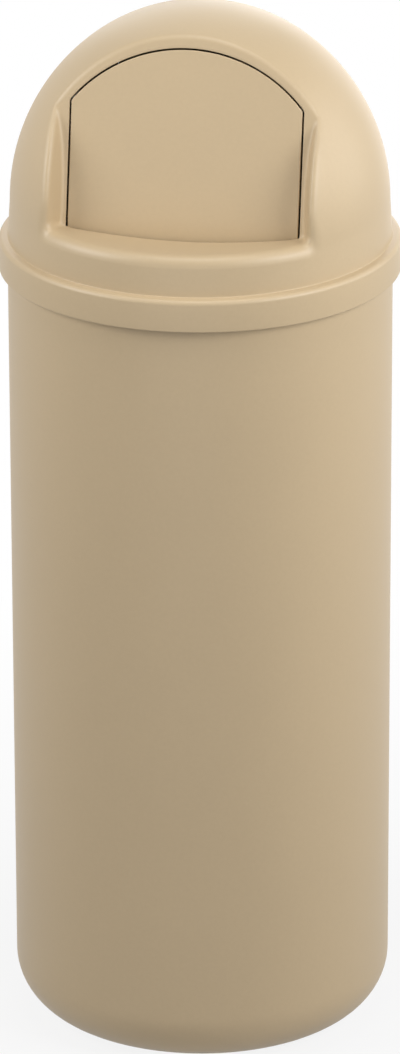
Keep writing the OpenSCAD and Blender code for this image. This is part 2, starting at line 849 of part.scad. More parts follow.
module half_handle() {
    bar_z = pivot_z - handle_drop;
    elbow = handle_elbow_r;
    bend = handle_bend_r;
    end_y = ear_y + ear_w / 2 + 1;
    wire_y(handle_x, handle_half_w + elbow, end_y, pivot_z, handle_wire_r);
    wire_bend(handle_half_w + elbow, pivot_z - elbow, elbow, 90);
    translate([handle_x, handle_half_w, bar_z + bend])
        cylinder(h = handle_drop - bend - elbow, r = handle_wire_r, $fn = 40);
    wire_bend(handle_half_w - bend, bar_z + bend, bend, 270);
    wire_y(handle_x, 0, handle_half_w - bend, bar_z, handle_wire_r);
}

module liner_handle(side) {
    color(zinc) one_side(side) {
        half_handle();
        mirror([0, 1, 0]) half_handle();
    }
}

module handle_grip(side) {
    bar_z = pivot_z - handle_drop;
    end_r = 1.2;
    color(black_rubber) one_side(side) translate([handle_x, 0, bar_z]) rotate([90, 0, 0])
        rotate_extrude($fn = 64) difference() {
            union() {
                translate([0, -grip_l / 2 + end_r]) square([grip_r, grip_l - 2 * end_r]);
                translate([0, -grip_l / 2]) square([grip_r - end_r, grip_l]);
                for (y = [-1, 1]) translate([grip_r - end_r, y * (grip_l / 2 - end_r)])
                    circle(end_r, $fn = 32);
            }
            translate([-1, -grip_l / 2 - 1]) square([handle_wire_r + rod_clear + 1, grip_l + 2]);
        }
}

module handle_ear() {
    difference() {
        intersection() {
            rotate([0, 0, ear_angle]) translate([liner_bore_r - ear_depth, -ear_w / 2, pivot_z - ear_h / 2])
                cube([ear_depth + 10, ear_w, ear_h]);
            cylinder(h = 2 * far, r = liner_bore_r, $fn = 120);
        }
        wire_y(handle_x, 0, 2 * ear_y, pivot_z, handle_wire_r + rod_clear);
        ear_rivet_holes();
    }
}

module ear_rivet_holes() {
    for (s = [-1, 1]) rotate([0, 0, ear_angle]) translate([liner_bore_r - 8, 0, pivot_z + s * rivet_pitch / 2])
        rotate([0, 90, 0]) cylinder(h = 20, r = rivet_r, $fn = 32);
}

module handle_ears(side) {
    color(zinc) one_side(side) {
        handle_ear();
        mirror([0, 1, 0]) handle_ear();
    }
}

module ear_rivet(s) {
    rotate([0, 0, ear_angle]) translate([liner_bore_r - 7, 0, pivot_z + s * rivet_pitch / 2])
        rotate([0, 90, 0]) {
            cylinder(h = 7 + liner_wall + 0.1, r = rivet_r - 0.02, $fn = 32);
            translate([0, 0, 7 + liner_wall]) cylinder(h = rivet_head_h, r1 = rivet_head_r,
                r2 = rivet_head_r * 0.6, $fn = 40);
        }
}

module ear_rivets() {
    color(zinc) for (side = [left, right], up = [0, 1], s = [-1, 1])
        one_side(side) mirror([0, up, 0]) ear_rivet(s);
}

body_shell();
dome_top();
push_door();
hinge_rod();
hinge_bracket(left);  // hinge_bracket_left
hinge_bracket(right);  // hinge_bracket_right
bracket_screws();
rod_bushing(left);  // rod_bushing_left
rod_bushing(right);  // rod_bushing_right
rod_spacer(left);  // rod_spacer_left
rod_spacer(right);  // rod_spacer_right
rod_push_nuts();
door_spring(left);  // door_spring_left
door_spring(right);  // door_spring_right
door_stop_pads();
inner_liner();
bag_band();
liner_handle(left);  // liner_handle_left
liner_handle(right);  // liner_handle_right
handle_grip(left);  // handle_grip_left
handle_grip(right);  // handle_grip_right
handle_ears(left);  // handle_ears_left
handle_ears(right);  // handle_ears_right
ear_rivets();
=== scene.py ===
"""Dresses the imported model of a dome-top waste bin with a push door, for Blender 4.5."""
import json
import logging
import math
from dataclasses import dataclass
from enum import Enum
from typing import Callable, Dict, List, Optional, Sequence, Tuple

import bmesh
import bpy
import numpy as np
from mathutils import Matrix, Vector


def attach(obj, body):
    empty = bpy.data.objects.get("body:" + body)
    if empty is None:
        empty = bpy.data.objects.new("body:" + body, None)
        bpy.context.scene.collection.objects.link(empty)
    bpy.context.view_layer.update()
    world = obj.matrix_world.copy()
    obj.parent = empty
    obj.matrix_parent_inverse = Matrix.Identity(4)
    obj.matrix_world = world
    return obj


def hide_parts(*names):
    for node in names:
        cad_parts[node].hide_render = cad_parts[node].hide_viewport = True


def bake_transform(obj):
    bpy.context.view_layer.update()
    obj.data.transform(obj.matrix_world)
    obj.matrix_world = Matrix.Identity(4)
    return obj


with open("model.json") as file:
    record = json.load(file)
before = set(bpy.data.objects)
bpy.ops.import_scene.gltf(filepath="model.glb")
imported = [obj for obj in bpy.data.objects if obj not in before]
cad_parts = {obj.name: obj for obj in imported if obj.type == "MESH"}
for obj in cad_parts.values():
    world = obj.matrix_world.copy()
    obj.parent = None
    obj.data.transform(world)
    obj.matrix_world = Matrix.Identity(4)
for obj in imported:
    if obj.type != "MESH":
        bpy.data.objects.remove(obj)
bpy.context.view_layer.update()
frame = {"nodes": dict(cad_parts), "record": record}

MM = 0.001
TAU = 2.0 * math.pi
# Below this a length or a sine counts as nothing.
TINY = 1e-9
# How far a rib, a web or a boss reaches into the wall that it stands on, in millimetres.
SINK = 0.5

logging.basicConfig(level=logging.INFO, format="%(message)s")
log = logging.getLogger("bin")

Point2 = Tuple[float, float]
Corner = Tuple[float, float, float]
Colour = Tuple[float, float, float]
Sockets = Sequence[Tuple[str, str, object]]
Array = np.ndarray
Material = bpy.types.Material
Mesh = bpy.types.Mesh
NodeTree = bpy.types.NodeTree
Socket = bpy.types.NodeSocket


class Side(Enum):
    """Which side of the bin a piece is on, as seen by someone facing the door."""

    LEFT = -1
    RIGHT = 1


class Slot(Enum):
    """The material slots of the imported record."""

    BIN = "bin_plastic"
    ZINC = "zinc_steel"
    SPRING = "spring_steel"
    NYLON = "nylon"
    RUBBER = "black_rubber"
    LINER = "liner_plastic"
    GRIP = "grip_plastic"


# Node helpers


def node_of(tree: NodeTree, kind: str, inputs: Optional[Dict] = None, **values: object) -> bpy.types.Node:
    """Adds a node, sets its properties and fills its inputs.

    Args:
        tree: the tree that takes the node.
        kind: Blender's name for the node type.
        inputs: for an input's name or number the socket that feeds it, a list of sockets, or its value.
        values: properties of the node, by name.

    Returns:
        The new node.
    """
    made = tree.nodes.new(kind)
    for name, value in values.items():
        setattr(made, name, value)
    for key, value in (inputs or {}).items():
        for item in value if isinstance(value, list) else [value]:
            if isinstance(item, Socket):
                tree.links.new(item, made.inputs[key])
            else:
                made.inputs[key].default_value = item
    return made


def flow(tree: NodeTree, kind: str, inputs: Optional[Dict] = None, **values: object) -> Socket:
    """Adds a node as node_of does, and gives its first output."""
    return node_of(tree, kind, inputs, **values).outputs[0]


def calc(tree: NodeTree, operation: str, *values: object) -> Socket:
    """Adds a Math node whose inputs are sockets or numbers, and gives its output."""
    return flow(tree, "ShaderNodeMath", dict(enumerate(values)), operation=operation)


def group_inputs(tree: NodeTree, inputs: Sockets, outputs: Sockets) -> bpy.types.NodeOutputs:
    """Gives a group its named sockets.

    Args:
        tree: the group.
        inputs: name, kind and default of each input.
        outputs: the same for each output.

    Returns:
        The sockets that hold the group's inputs.
    """
    for way, sockets in (("INPUT", inputs), ("OUTPUT", outputs)):
        for name, kind, default in sockets:
            made = tree.interface.new_socket(name, in_out=way, socket_type="NodeSocket" + kind)
            if default is not None:
                made.default_value = default
    return node_of(tree, "NodeGroupInput").outputs


def empty_tree(owner: bpy.types.ID) -> NodeTree:
    """Gives a material or a world an empty node tree."""
    owner.use_nodes = True
    owner.node_tree.nodes.clear()
    return owner.node_tree


# Mesh helpers


def new_object(name: str, data: bpy.types.ID) -> bpy.types.Object:
    """Puts a mesh, a camera or a lamp into the scene as an object at the origin.

    Args:
        name: the object's name.
        data: what it shows, in metres in the row frame.

    Returns:
        The new object.
    """
    made = bpy.data.objects.new(name, data)
    bpy.context.scene.collection.objects.link(made)
    return made


def chain_mesh(chains: Sequence[Sequence[Sequence[float]]]) -> Mesh:
    """Makes the mesh of chains of points that a geometry tree starts from.

    Args:
        chains: for each chain its points in millimetres.

    Returns:
        The mesh, in metres, with an edge from each point of a chain to the next.
    """
    points, edges = [], []
    for chain in chains:
        first = len(points)
        points += [tuple(p) for p in np.asarray(chain, float) * MM]
        edges += [(i, i + 1) for i in range(first, len(points) - 1)]
    seed = bpy.data.meshes.new("seed")
    seed.from_pydata(points, edges, [])
    return seed


def mesh_from(name: str, points: Array, faces: Sequence[Sequence[int]]) -> Mesh:
    """Makes a mesh with faces.

    Args:
        name: the mesh's name.
        points: N by 3 coordinates in millimetres.
        faces: lists of point numbers.

    Returns:
        The new mesh, in metres.
    """
    mesh = bpy.data.meshes.new(name)
    mesh.from_pydata((np.asarray(points) * MM).tolist(), [], faces)
    mesh.validate()
    mesh.update()
    return mesh


def tidy_mesh(mesh: Mesh, sharp_deg: float, merge: float = 1e-6, outward: bool = True) -> Mesh:
    """Merges doubles, turns the faces outwards and smooths all but the sharp edges.

    Args:
        mesh: the mesh to work on.
        sharp_deg: edges that turn more than this stay sharp.
        merge: distance in metres under which points are merged.
        outward: whether to recalculate the faces' directions.

    Returns:
        The same mesh.
    """
    work = bmesh.new()
    work.from_mesh(mesh)
    bmesh.ops.remove_doubles(work, verts=work.verts, dist=merge)
    bmesh.ops.dissolve_degenerate(work, edges=work.edges, dist=merge * 0.1)
    if outward:
        bmesh.ops.recalc_face_normals(work, faces=work.faces)
    for face in work.faces:
        face.smooth = True
    work.to_mesh(mesh)
    work.free()
    mesh.set_sharp_from_angle(angle=math.radians(sharp_deg))
    mesh.update()
    return mesh


def joined(name: str, meshes: Sequence[Mesh], material: Material) -> Mesh:
    """Joins meshes into one.

    Args:
        name: the new mesh's name.
        meshes: the meshes to join, removed afterwards.
        material: the one material of the result.

    Returns:
        The joined mesh.
    """
    work = bmesh.new()
    for mesh in meshes:
        work.from_mesh(mesh)
        bpy.data.meshes.remove(mesh)
    for face in work.faces:
        face.material_index = 0
    made = bpy.data.meshes.new(name)
    work.to_mesh(made)
    work.free()
    made.materials.append(material)
    made.update()
    return made


def stood(mesh: Mesh, origin: Sequence[float], *axes: Sequence[float]) -> Mesh:
    """Turns a mesh's axes to new directions and moves it to its place.

    Args:
        mesh: the mesh, made about the Z axis.
        origin: where its origin goes, in millimetres.
        axes: the directions that its X, Y and Z take.

    Returns:
        The same mesh.
    """
    turn = Matrix([tuple(axis) for axis in axes]).transposed().to_4x4()
    mesh.transform(Matrix.Translation(Vector(np.asarray(origin, float) * MM)) @ turn)
    return mesh


def rounded(corners: Sequence[Corner], step_deg: float) -> List[Point2]:
    """Rounds the corners of an open outline.

    Args:
        corners: (r, z, radius) for each corner, in millimetres.
        step_deg: angle covered by one segment of a rounding.

    Returns:
        The points of the rounded outline.
    """
    out: List[Point2] = []
    for i, (x, y, radius) in enumerate(corners):
        if i in (0, len(corners) - 1) or radius <= 0.0:
            out.append((x, y))
            continue
        here = np.array([x, y])
        back, ahead = (unit(np.array(corners[k][:2]) - here) for k in (i - 1, i + 1))
        inner = math.acos(max(-1.0, min(1.0, float(back @ ahead))))
        turn = math.pi - inner
        if turn < 1e-4:
            out.append((x, y))
            continue
        reach = radius * math.tan(turn / 2.0)
        centre = here + unit(back + ahead) * (radius / math.sin(inner / 2.0))
        steps = max(2, int(math.ceil(math.degrees(turn) / step_deg)))
        a0, a1 = (math.atan2(*(here + way * reach - centre)[::-1]) for way in (back, ahead))
        sweep = (a1 - a0 + math.pi) % TAU - math.pi
        for k in range(steps + 1):
            a = a0 + sweep * k / steps
            out.append((centre[0] + radius * math.cos(a), centre[1] + radius * math.sin(a)))
    return out


def ring_faces(rings: int, count: int, closed: bool = False) -> List[Tuple[int, ...]]:
    """Gives the faces between rings of points that follow each other.

    Args:
        rings: how many rings there are.
        count: points in each ring.
        closed: whether the last ring joins the first.

    Returns:
        Lists of point numbers.
    """
    faces = []
    for i in range(rings if closed else rings - 1):
        a, b = i * count, ((i + 1) % rings) * count
        faces += [(a + j, a + (j + 1) % count, b + (j + 1) % count, b + j) for j in range(count)]
    return faces


# Curve helpers


def length_of(ways: Array) -> Array:
    """Gives the length of each vector, with the last axis kept."""
    return np.linalg.norm(ways, axis=-1, keepdims=True)


def unit(ways: Array) -> Array:
    """Gives each vector at length one."""
    return ways / length_of(ways)


def level_ring(phi: Array, r: float, z: float) -> Array:
    """Gives the points of a level ring at angles counted from the front."""
    return np.stack([r * np.sin(phi), -r * np.cos(phi), np.full(phi.shape, z)], axis=-1)


def eased(q: Array, rate: float) -> Array:
    """Rises from 0 at q = 0 to 1 and falls back to 0 at q = 1, steeper for a larger rate."""
    up, down = (np.sin(np.pi * np.clip(x * rate, 0.0, 0.5)) for x in (q, 1.0 - q))
    return up * down


def smooth_max(a: Array, b: Array, k: Array) -> Array:
    """Larger of two distances, rounded over where they are within k of each other."""
    h = np.maximum(k - np.abs(a - b), 0.0) / k
    return np.maximum(a, b) + h * h * k / 4.0


def last_true(test: Callable[[Array], Array], low: Array, high: Array) -> Array:
    """Finds the largest value for which a test holds, by halving.

    Args:
        test: gives whether each value passes.
        low: values that pass.
        high: values that fail.

    Returns:
        The largest values that pass.
    """
    for _ in range(50):
        mid = (low + high) / 2.0
        held = test(mid)
        low, high = np.where(held, mid, low), np.where(held, high, mid)
    return low


# Finishes


@dataclass(frozen=True)
class Grain:
    """Fine relief of a moulded or rolled surface."""

    cell_mm: float
    height_mm: float
    strength: float


@dataclass(frozen=True)
class Finish:
    """One finish: its plain values, its relief and how much both vary."""

    name: str
    colour: Colour
    roughness: float
    grain: Grain
    metallic: float = 0.0
    specular: float = 0.5
    mottle: float = 0.05
    rough_spread: float = 0.06


class FinishKit:
    """Builds the shared shader groups once and a material for each finish.

    The grain is a cell pattern with a finer noise on it, at fine_rate times the cells' rate. The mottle
    is two noises, each with its scale and detail in patches.
    """

    fine_rate: float = 2.3
    fine_share: float = 0.7
    patches: Tuple[Point2, ...] = ((9.0, 4.0), (260.0, 2.0))

    def __init__(self) -> None:
        """Makes the shared groups."""
        self.grain = self._make_grain()
        self.mottle = self._make_mottle()

    def _make_grain(self) -> NodeTree:
        """Makes the group that gives the height of a fine leather-like moulded grain.

        Returns:
            The group.
        """
        tree = bpy.data.node_groups.new("moulded_grain", "ShaderNodeTree")
        start = group_inputs(tree, [("Vector", "Vector", None), ("Cells per metre", "Float", 800.0)],
                             [("Height", "Float", None)])
        place, rate = start["Vector"], start["Cells per metre"]
        cells = node_of(tree, "ShaderNodeTexVoronoi", {"Vector": place, "Scale": rate, "Smoothness": 0.6},
                        feature="SMOOTH_F1")
        fine = node_of(tree, "ShaderNodeTexNoise", {
            "Vector": place, "Scale": calc(tree, "MULTIPLY", rate, self.fine_rate), "Detail": 3.0})
        height = calc(tree, "MULTIPLY_ADD", fine.outputs["Fac"], self.fine_share, cells.outputs["Distance"])
        node_of(tree, "NodeGroupOutput", {"Height": height})
        return tree

    def _make_mottle(self) -> NodeTree:
        """Makes the group that varies a colour and a roughness over the surface.

        Returns:
            The group.
        """
        tree = bpy.data.node_groups.new("surface_mottle", "ShaderNodeTree")
        start = group_inputs(
            tree,
            [("Vector", "Vector", None), ("Colour", "Color", (0.5, 0.5, 0.5, 1.0)), ("Mottle", "Float", 0.05),
             ("Roughness", "Float", 0.5), ("Spread", "Float", 0.05)],
            [("Colour", "Color", None), ("Roughness", "Float", None)])
        noise = [node_of(tree, "ShaderNodeTexNoise", {
            "Vector": start["Vector"], "Scale": scale, "Detail": detail}).outputs["Fac"]
            for scale, detail in self.patches]
        centred = calc(tree, "SUBTRACT", calc(tree, "ADD", *noise), 1.0)
        gain = calc(tree, "MULTIPLY_ADD", centred, start["Mottle"], 1.0)
        shade = flow(tree, "ShaderNodeVectorMath", {0: start["Colour"], "Scale": gain}, operation="SCALE")
        rough = calc(tree, "MULTIPLY_ADD", centred, start["Spread"], start["Roughness"])
        node_of(tree, "NodeGroupOutput", {"Colour": shade, "Roughness": rough})
        return tree

    def material(self, finish: Finish) -> Material:
        """Makes the material of a finish.

        Args:
            finish: the finish.

        Returns:
            Its material.
        """
        made = bpy.data.materials.new(finish.name)
        tree = empty_tree(made)
        place = node_of(tree, "ShaderNodeTexCoord").outputs["Object"]
        mottle = node_of(tree, "ShaderNodeGroup", {
            "Vector": place, "Colour": (*finish.colour, 1.0), "Mottle": finish.mottle,
            "Roughness": finish.roughness, "Spread": finish.rough_spread}, node_tree=self.mottle)
        grain = node_of(tree, "ShaderNodeGroup", {
            "Vector": place, "Cells per metre": 1.0 / (finish.grain.cell_mm * MM)}, node_tree=self.grain)
        bump = flow(tree, "ShaderNodeBump", {
            "Strength": finish.grain.strength, "Distance": finish.grain.height_mm * MM,
            "Height": grain.outputs["Height"]})
        shader = flow(tree, "ShaderNodeBsdfPrincipled", {
            "Base Color": mottle.outputs["Colour"], "Roughness": mottle.outputs["Roughness"],
            "Metallic": finish.metallic, "Specular IOR Level": finish.specular, "Normal": bump})
        node_of(tree, "ShaderNodeOutputMaterial", {"Surface": shader})
        return made


FINISHES: Dict[Slot, Finish] = {
    Slot.BIN: Finish("moulded_beige", (0.460, 0.352, 0.216), 0.45, Grain(1.3, 0.05, 0.35)),
    Slot.ZINC: Finish("zinc_plate", (0.62, 0.63, 0.64), 0.30, Grain(0.8, 0.01, 0.2), metallic=1.0,
                      mottle=0.10, rough_spread=0.12),
    Slot.SPRING: Finish("spring_wire", (0.46, 0.46, 0.47), 0.28, Grain(0.5, 0.01, 0.2), metallic=1.0,
                        mottle=0.08, rough_spread=0.10),
    Slot.NYLON: Finish("natural_nylon", (0.74, 0.72, 0.64), 0.35, Grain(0.9, 0.01, 0.15)),
    Slot.RUBBER: Finish("soft_rubber", (0.028, 0.028, 0.030), 0.70, Grain(0.7, 0.02, 0.3), specular=0.35,
                        rough_spread=0.08),
    Slot.LINER: Finish("liner_grey", (0.085, 0.090, 0.096), 0.48, Grain(1.6, 0.03, 0.3), mottle=0.08),
    Slot.GRIP: Finish("grip_black", (0.030, 0.030, 0.032), 0.38, Grain(0.9, 0.02, 0.25)),
}


# Geometry trees


class ShapeTree:
    """Base of the geometry trees: sockets, running and turning the result into a plain mesh."""

    name: str = "shape"
    sizes: Sockets = ()

    def __init__(self) -> None:
        """Makes the tree with its named inputs, ended by Realize Instances and Set Material."""
        self.tree = bpy.data.node_groups.new(self.name, "GeometryNodeTree")
        geometry = ("Geometry", "Geometry", None)
        start = group_inputs(self.tree, [geometry, *self.sizes, ("Material", "Material", None)], [geometry])
        real = flow(self.tree, "GeometryNodeRealizeInstances", {0: self.shape(self.tree, start)})
        paint = flow(self.tree, "GeometryNodeSetMaterial", {"Geometry": real, "Material": start["Material"]})
        node_of(self.tree, "NodeGroupOutput", {0: paint})

    def shape(self, tree: NodeTree, start: bpy.types.NodeOutputs) -> Socket:
        """Builds the tree's own nodes.

        Args:
            tree: the tree.
            start: the sockets of its inputs.

        Returns:
            The socket that holds the shape.
        """
        raise NotImplementedError

    def make(self, name: str, seed: Mesh, material: Material, **values: object) -> Mesh:
        """Runs the tree on a mesh and gives the result as a plain mesh.

        Args:
            name: the result's name.
            seed: the mesh that the tree starts from, in metres.
            material: the material for Set Material.
            values: the tree's named inputs, with underscores for spaces.

        Returns:
            The finished mesh.
        """
        carrier = new_object(name + "_seed", seed)
        modifier = carrier.modifiers.new(self.name, "NODES")
        modifier.node_group = self.tree
        values = {key.replace("_", " "): value for key, value in values.items()}
        values["Material"] = material
        for item in self.tree.interface.items_tree:
            if item.in_out == "INPUT" and item.name in values:
                modifier[item.identifier] = values[item.name]
        graph = bpy.context.evaluated_depsgraph_get()
        graph.update()
        made = bpy.data.meshes.new_from_object(carrier.evaluated_get(graph))
        made.name = name
        carrier.modifiers.clear()
        bpy.data.objects.remove(carrier)
        return made


class LatheTree(ShapeTree):
    """Turns a profile, drawn as a chain of points in the XZ plane, about Z.

    A nudge keeps the division of a point's number by the rows from falling just short.
    """

    name = "turned_form"
    sizes = (("Segments", "Int", 192),)
    nudge: float = 0.01

    def shape(self, tree: NodeTree, start: bpy.types.NodeOutputs) -> Socket:
        """Lays a grid, one column a meridian, and bends it round the axis."""
        rows = node_of(tree, "GeometryNodeAttributeDomainSize", {0: start["Geometry"]},
                       component="MESH").outputs["Point Count"]
        grid = flow(tree, "GeometryNodeMeshGrid", {
            "Vertices X": calc(tree, "ADD", start["Segments"], 1.0), "Vertices Y": rows})
        index = flow(tree, "GeometryNodeInputIndex")
        column = calc(tree, "FLOOR", calc(tree, "DIVIDE", calc(tree, "ADD", index, self.nudge), rows))
        row = calc(tree, "SUBTRACT", index, calc(tree, "MULTIPLY", column, rows))
        sample = node_of(tree, "GeometryNodeSampleIndex", {
            "Geometry": start["Geometry"], "Value": flow(tree, "GeometryNodeInputPosition"), "Index": row},
            data_type="FLOAT_VECTOR", domain="POINT")
        angle = calc(tree, "MULTIPLY", calc(tree, "DIVIDE", column, start["Segments"]), TAU)
        turn = flow(tree, "ShaderNodeVectorRotate", {"Vector": sample.outputs["Value"], "Angle": angle},
                    rotation_type="Z_AXIS")
        return flow(tree, "GeometryNodeSetPosition", {"Geometry": grid, "Position": turn})

    def turned(self, name: str, corners: Sequence[Corner], step_deg: float, material: Material,
               segments: int, sharp_deg: float = 35.0) -> Mesh:
        """Turns a closed profile about Z.

        Args:
            name: the mesh's name.
            corners: (r, z, radius) in millimetres, from the axis to the axis or round a ring.
            step_deg: angle covered by one segment of a rounding.
            material: the piece's material.
            segments: meridians round the axis.
            sharp_deg: edges that turn more than this stay sharp.

        Returns:
            The finished closed mesh.
        """
        seed = chain_mesh([[(r, 0.0, z) for r, z in rounded(corners, step_deg)]])
        return tidy_mesh(self.make(name, seed, material, Segments=segments), sharp_deg)


class WireTree(ShapeTree):
    """Runs a round wire along a chain of points."""

    name = "bent_wire"
    sizes = (("Wire Radius", "Float", 0.001), ("Sides", "Int", 12))

    def shape(self, tree: NodeTree, start: bpy.types.NodeOutputs) -> Socket:
        """Turns the chain into a curve and sweeps a circle along it."""
        curve = flow(tree, "GeometryNodeMeshToCurve", {"Mesh": start["Geometry"]})
        ring = flow(tree, "GeometryNodeCurvePrimitiveCircle", {
            "Resolution": start["Sides"], "Radius": start["Wire Radius"]})
        return flow(tree, "GeometryNodeCurveToMesh", {
            "Curve": curve, "Profile Curve": ring, "Fill Caps": True})

    def along(self, name: str, route: Sequence[Sequence[float]], radius: float, material: Material,
              sides: int) -> Mesh:
        """Runs a wire along a route.

        Args:
            name: the mesh's name.
            route: points in millimetres, in the row frame.
            radius: the wire's radius in millimetres.
            material: the wire's material.
            sides: faces round the wire.

        Returns:
            The finished mesh.
        """
        made = self.make(name, chain_mesh([route]), material, Wire_Radius=radius * MM, Sides=sides)
        return tidy_mesh(made, sharp_deg=50.0)


class FastenerTree(ShapeTree):
    """Sets a domed head with a short shank at each point, square to the point's own axis."""

    name = "domed_heads"
    sizes = (("Head Radius", "Float", 0.004), ("Head Height", "Float", 0.0016),
             ("Shank Radius", "Float", 0.002), ("Shank Length", "Float", 0.008))

    def shape(self, tree: NodeTree, start: bpy.types.NodeOutputs) -> Socket:
        """Builds one fastener along +Z and sets it on every point."""
        radius, length = start["Head Radius"], start["Shank Length"]
        ball = flow(tree, "GeometryNodeMeshUVSphere", {"Segments": 28, "Rings": 14, "Radius": 1.0})
        size = flow(tree, "ShaderNodeCombineXYZ", {0: radius, 1: radius, 2: start["Head Height"]})
        flat = flow(tree, "GeometryNodeTransform", {"Geometry": ball, "Scale": size})
        split = node_of(tree, "ShaderNodeSeparateXYZ", {0: flow(tree, "GeometryNodeInputPosition")}).outputs
        lifted = flow(tree, "ShaderNodeCombineXYZ", {
            0: split[0], 1: split[1], 2: calc(tree, "MAXIMUM", split[2], 0.0)})
        half = flow(tree, "GeometryNodeSetPosition", {"Geometry": flat, "Position": lifted})
        shank = flow(tree, "GeometryNodeMeshCylinder", {
            "Vertices": 24, "Radius": start["Shank Radius"], "Depth": length})
        drop = flow(tree, "ShaderNodeCombineXYZ", {2: calc(tree, "MULTIPLY", length, -0.5)})
        low = flow(tree, "GeometryNodeTransform", {"Geometry": shank, "Translation": drop})
        both = flow(tree, "GeometryNodeJoinGeometry", {0: [half, low]})
        axis = flow(tree, "GeometryNodeInputNamedAttribute", {"Name": "axis"}, data_type="FLOAT_VECTOR")
        aim = flow(tree, "FunctionNodeAlignRotationToVector", {"Vector": axis}, axis="Z")
        return flow(tree, "GeometryNodeInstanceOnPoints", {
            "Points": start["Geometry"], "Instance": both, "Rotation": aim})

    def heads(self, name: str, places: Sequence[Array], axes: Sequence[Array], material: Material,
              **sizes: float) -> Mesh:
        """Sets the fasteners.

        Args:
            name: the mesh's name.
            places: where each head seats, in millimetres.
            axes: the direction in which each head looks.
            material: the fasteners' material.
            sizes: the tree's sizes in millimetres.

        Returns:
            The finished mesh.
        """
        seed = chain_mesh([[place] for place in places])
        aimed = seed.attributes.new("axis", "FLOAT_VECTOR", "POINT")
        for i, value in enumerate(axes):
            aimed.data[i].vector = Vector(value)
        made = self.make(name, seed, material, **{key: value * MM for key, value in sizes.items()})
        return tidy_mesh(made, sharp_deg=40.0, outward=False)


class RibTree(ShapeTree):
    """Raises a thin rib from each chain of points."""

    name = "raised_ribs"
    sizes = (("Reach", "Vector", (0.0, 0.0, -0.005)), ("Thickness", "Float", 0.003))

    def shape(self, tree: NodeTree, start: bpy.types.NodeOutputs) -> Socket:
        """Pulls each chain into a sheet and thickens the sheet to both sides."""
        thick = start["Thickness"]
        sheet = flow(tree, "GeometryNodeExtrudeMesh", {"Mesh": start["Geometry"], "Offset": start["Reach"]},
                     mode="EDGES")
        aside = flow(tree, "ShaderNodeVectorMath", {
            0: flow(tree, "GeometryNodeInputNormal"), "Scale": calc(tree, "MULTIPLY", thick, -0.5)},
            operation="SCALE")
        moved = flow(tree, "GeometryNodeSetPosition", {"Geometry": sheet, "Offset": aside})
        solid = flow(tree, "GeometryNodeExtrudeMesh", {
            "Individual": False, "Mesh": moved, "Offset Scale": thick}, mode="FACES")
        back = flow(tree, "GeometryNodeFlipFaces", {"Mesh": moved})
        both = flow(tree, "GeometryNodeJoinGeometry", {0: [solid, back]})
        return flow(tree, "GeometryNodeMergeByDistance", {"Geometry": both, "Distance": 1e-6})

    def raised(self, name: str, chains: Sequence[Array], reach: Sequence[float], thickness: float,
               material: Material) -> Mesh:
        """Raises the ribs.

        Args:
            name: the mesh's name.
            chains: for each rib the points of its root, in millimetres in the row frame.
            reach: how far and in which direction the ribs stand out, in millimetres.
            thickness: the ribs' thickness in millimetres.
            material: the piece's material.

        Returns:
            The finished mesh.
        """
        made = self.make(name, chain_mesh(chains), material, Reach=Vector(np.asarray(reach) * MM),
                         Thickness=thickness * MM)
        return tidy_mesh(made, sharp_deg=30.0)


class Workshop:
    """The geometry trees and the finishes, and the way in which a piece goes into the frame."""

    def __init__(self) -> None:
        """Makes the trees and the finishes."""
        self.lathe, self.wire = LatheTree(), WireTree()
        self.fasteners, self.ribs = FastenerTree(), RibTree()
        kit = FinishKit()
        self.paint: Dict[Slot, Material] = {
            slot: kit.material(finish) for slot, finish in FINISHES.items()}

    def dress_nodes(self) -> None:
        """Gives every CAD node the material of its slot."""
        slots = {part["node"]: Slot(part["material_slot"]) for part in frame["record"]["subparts"]}
        for name, piece in frame["nodes"].items():
            piece.data.materials.clear()
            piece.data.materials.append(self.paint[slots[name]])

    def fit(self, mesh: Mesh, body: str, slot: Slot, node: str) -> None:
        """Hands a finished piece to the frame.

        Args:
            mesh: the piece's mesh, named as the piece.
            body: the body that it rides on.
            slot: the material slot that the piece's finish comes from; not used.
            node: the CAD node that it stands for.
        """
        piece = new_object(mesh.name, mesh)
        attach(piece, body)
        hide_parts(node)
        log.info("%s: %d points, rides on %s", piece.name, len(mesh.vertices), body)


# The recess face


@dataclass
class Face:
    """The plane of the recess face and of the door, in millimetres: u right, v up it, w out of it.

    The rod's axis runs along u at (hinge_v, hinge_w). The brackets' screws stand at screw_u on both
    sides, one at each screw_v.
    """

    spring_z: float = 867.0
    distance: float = 102.3
    lean_deg: float = 13.5
    hinge_v: float = 104.006
    hinge_w: float = -16.0
    screw_u: float = 124.35
    screw_v: Point2 = (62.5, 88.5)

    def __post_init__(self) -> None:
        """Works out the foot of the square from the dome's centre to the plane."""
        lean = math.radians(self.lean_deg)
        self.sin, self.cos = math.sin(lean), math.cos(lean)
        self.foot_n = self.distance * self.cos
        self.foot_z = self.spring_z + self.distance * self.sin
        self.normal = np.array([0.0, -self.cos, self.sin])

    def point(self, u: object, v: object, w: object = 0.0) -> Array:
        """Gives row-frame points for places on the face."""
        u, v, w = np.broadcast_arrays(np.asarray(u, float), np.asarray(v, float), np.asarray(w, float))
        n = self.foot_n - v * self.sin + w * self.cos
        return np.stack([u, -n, self.foot_z + v * self.cos + w * self.sin], axis=-1)

    def out_of_plane(self, p: Array) -> Array:
        """Distance of row-frame points in front of the face."""
        return (-p[..., 1] - self.foot_n) * self.cos + (p[..., 2] - self.foot_z) * self.sin

    def v_at(self, z: object) -> object:
        """Height up the face of a level."""
        return (z - self.foot_z) / self.cos


FACE = Face()


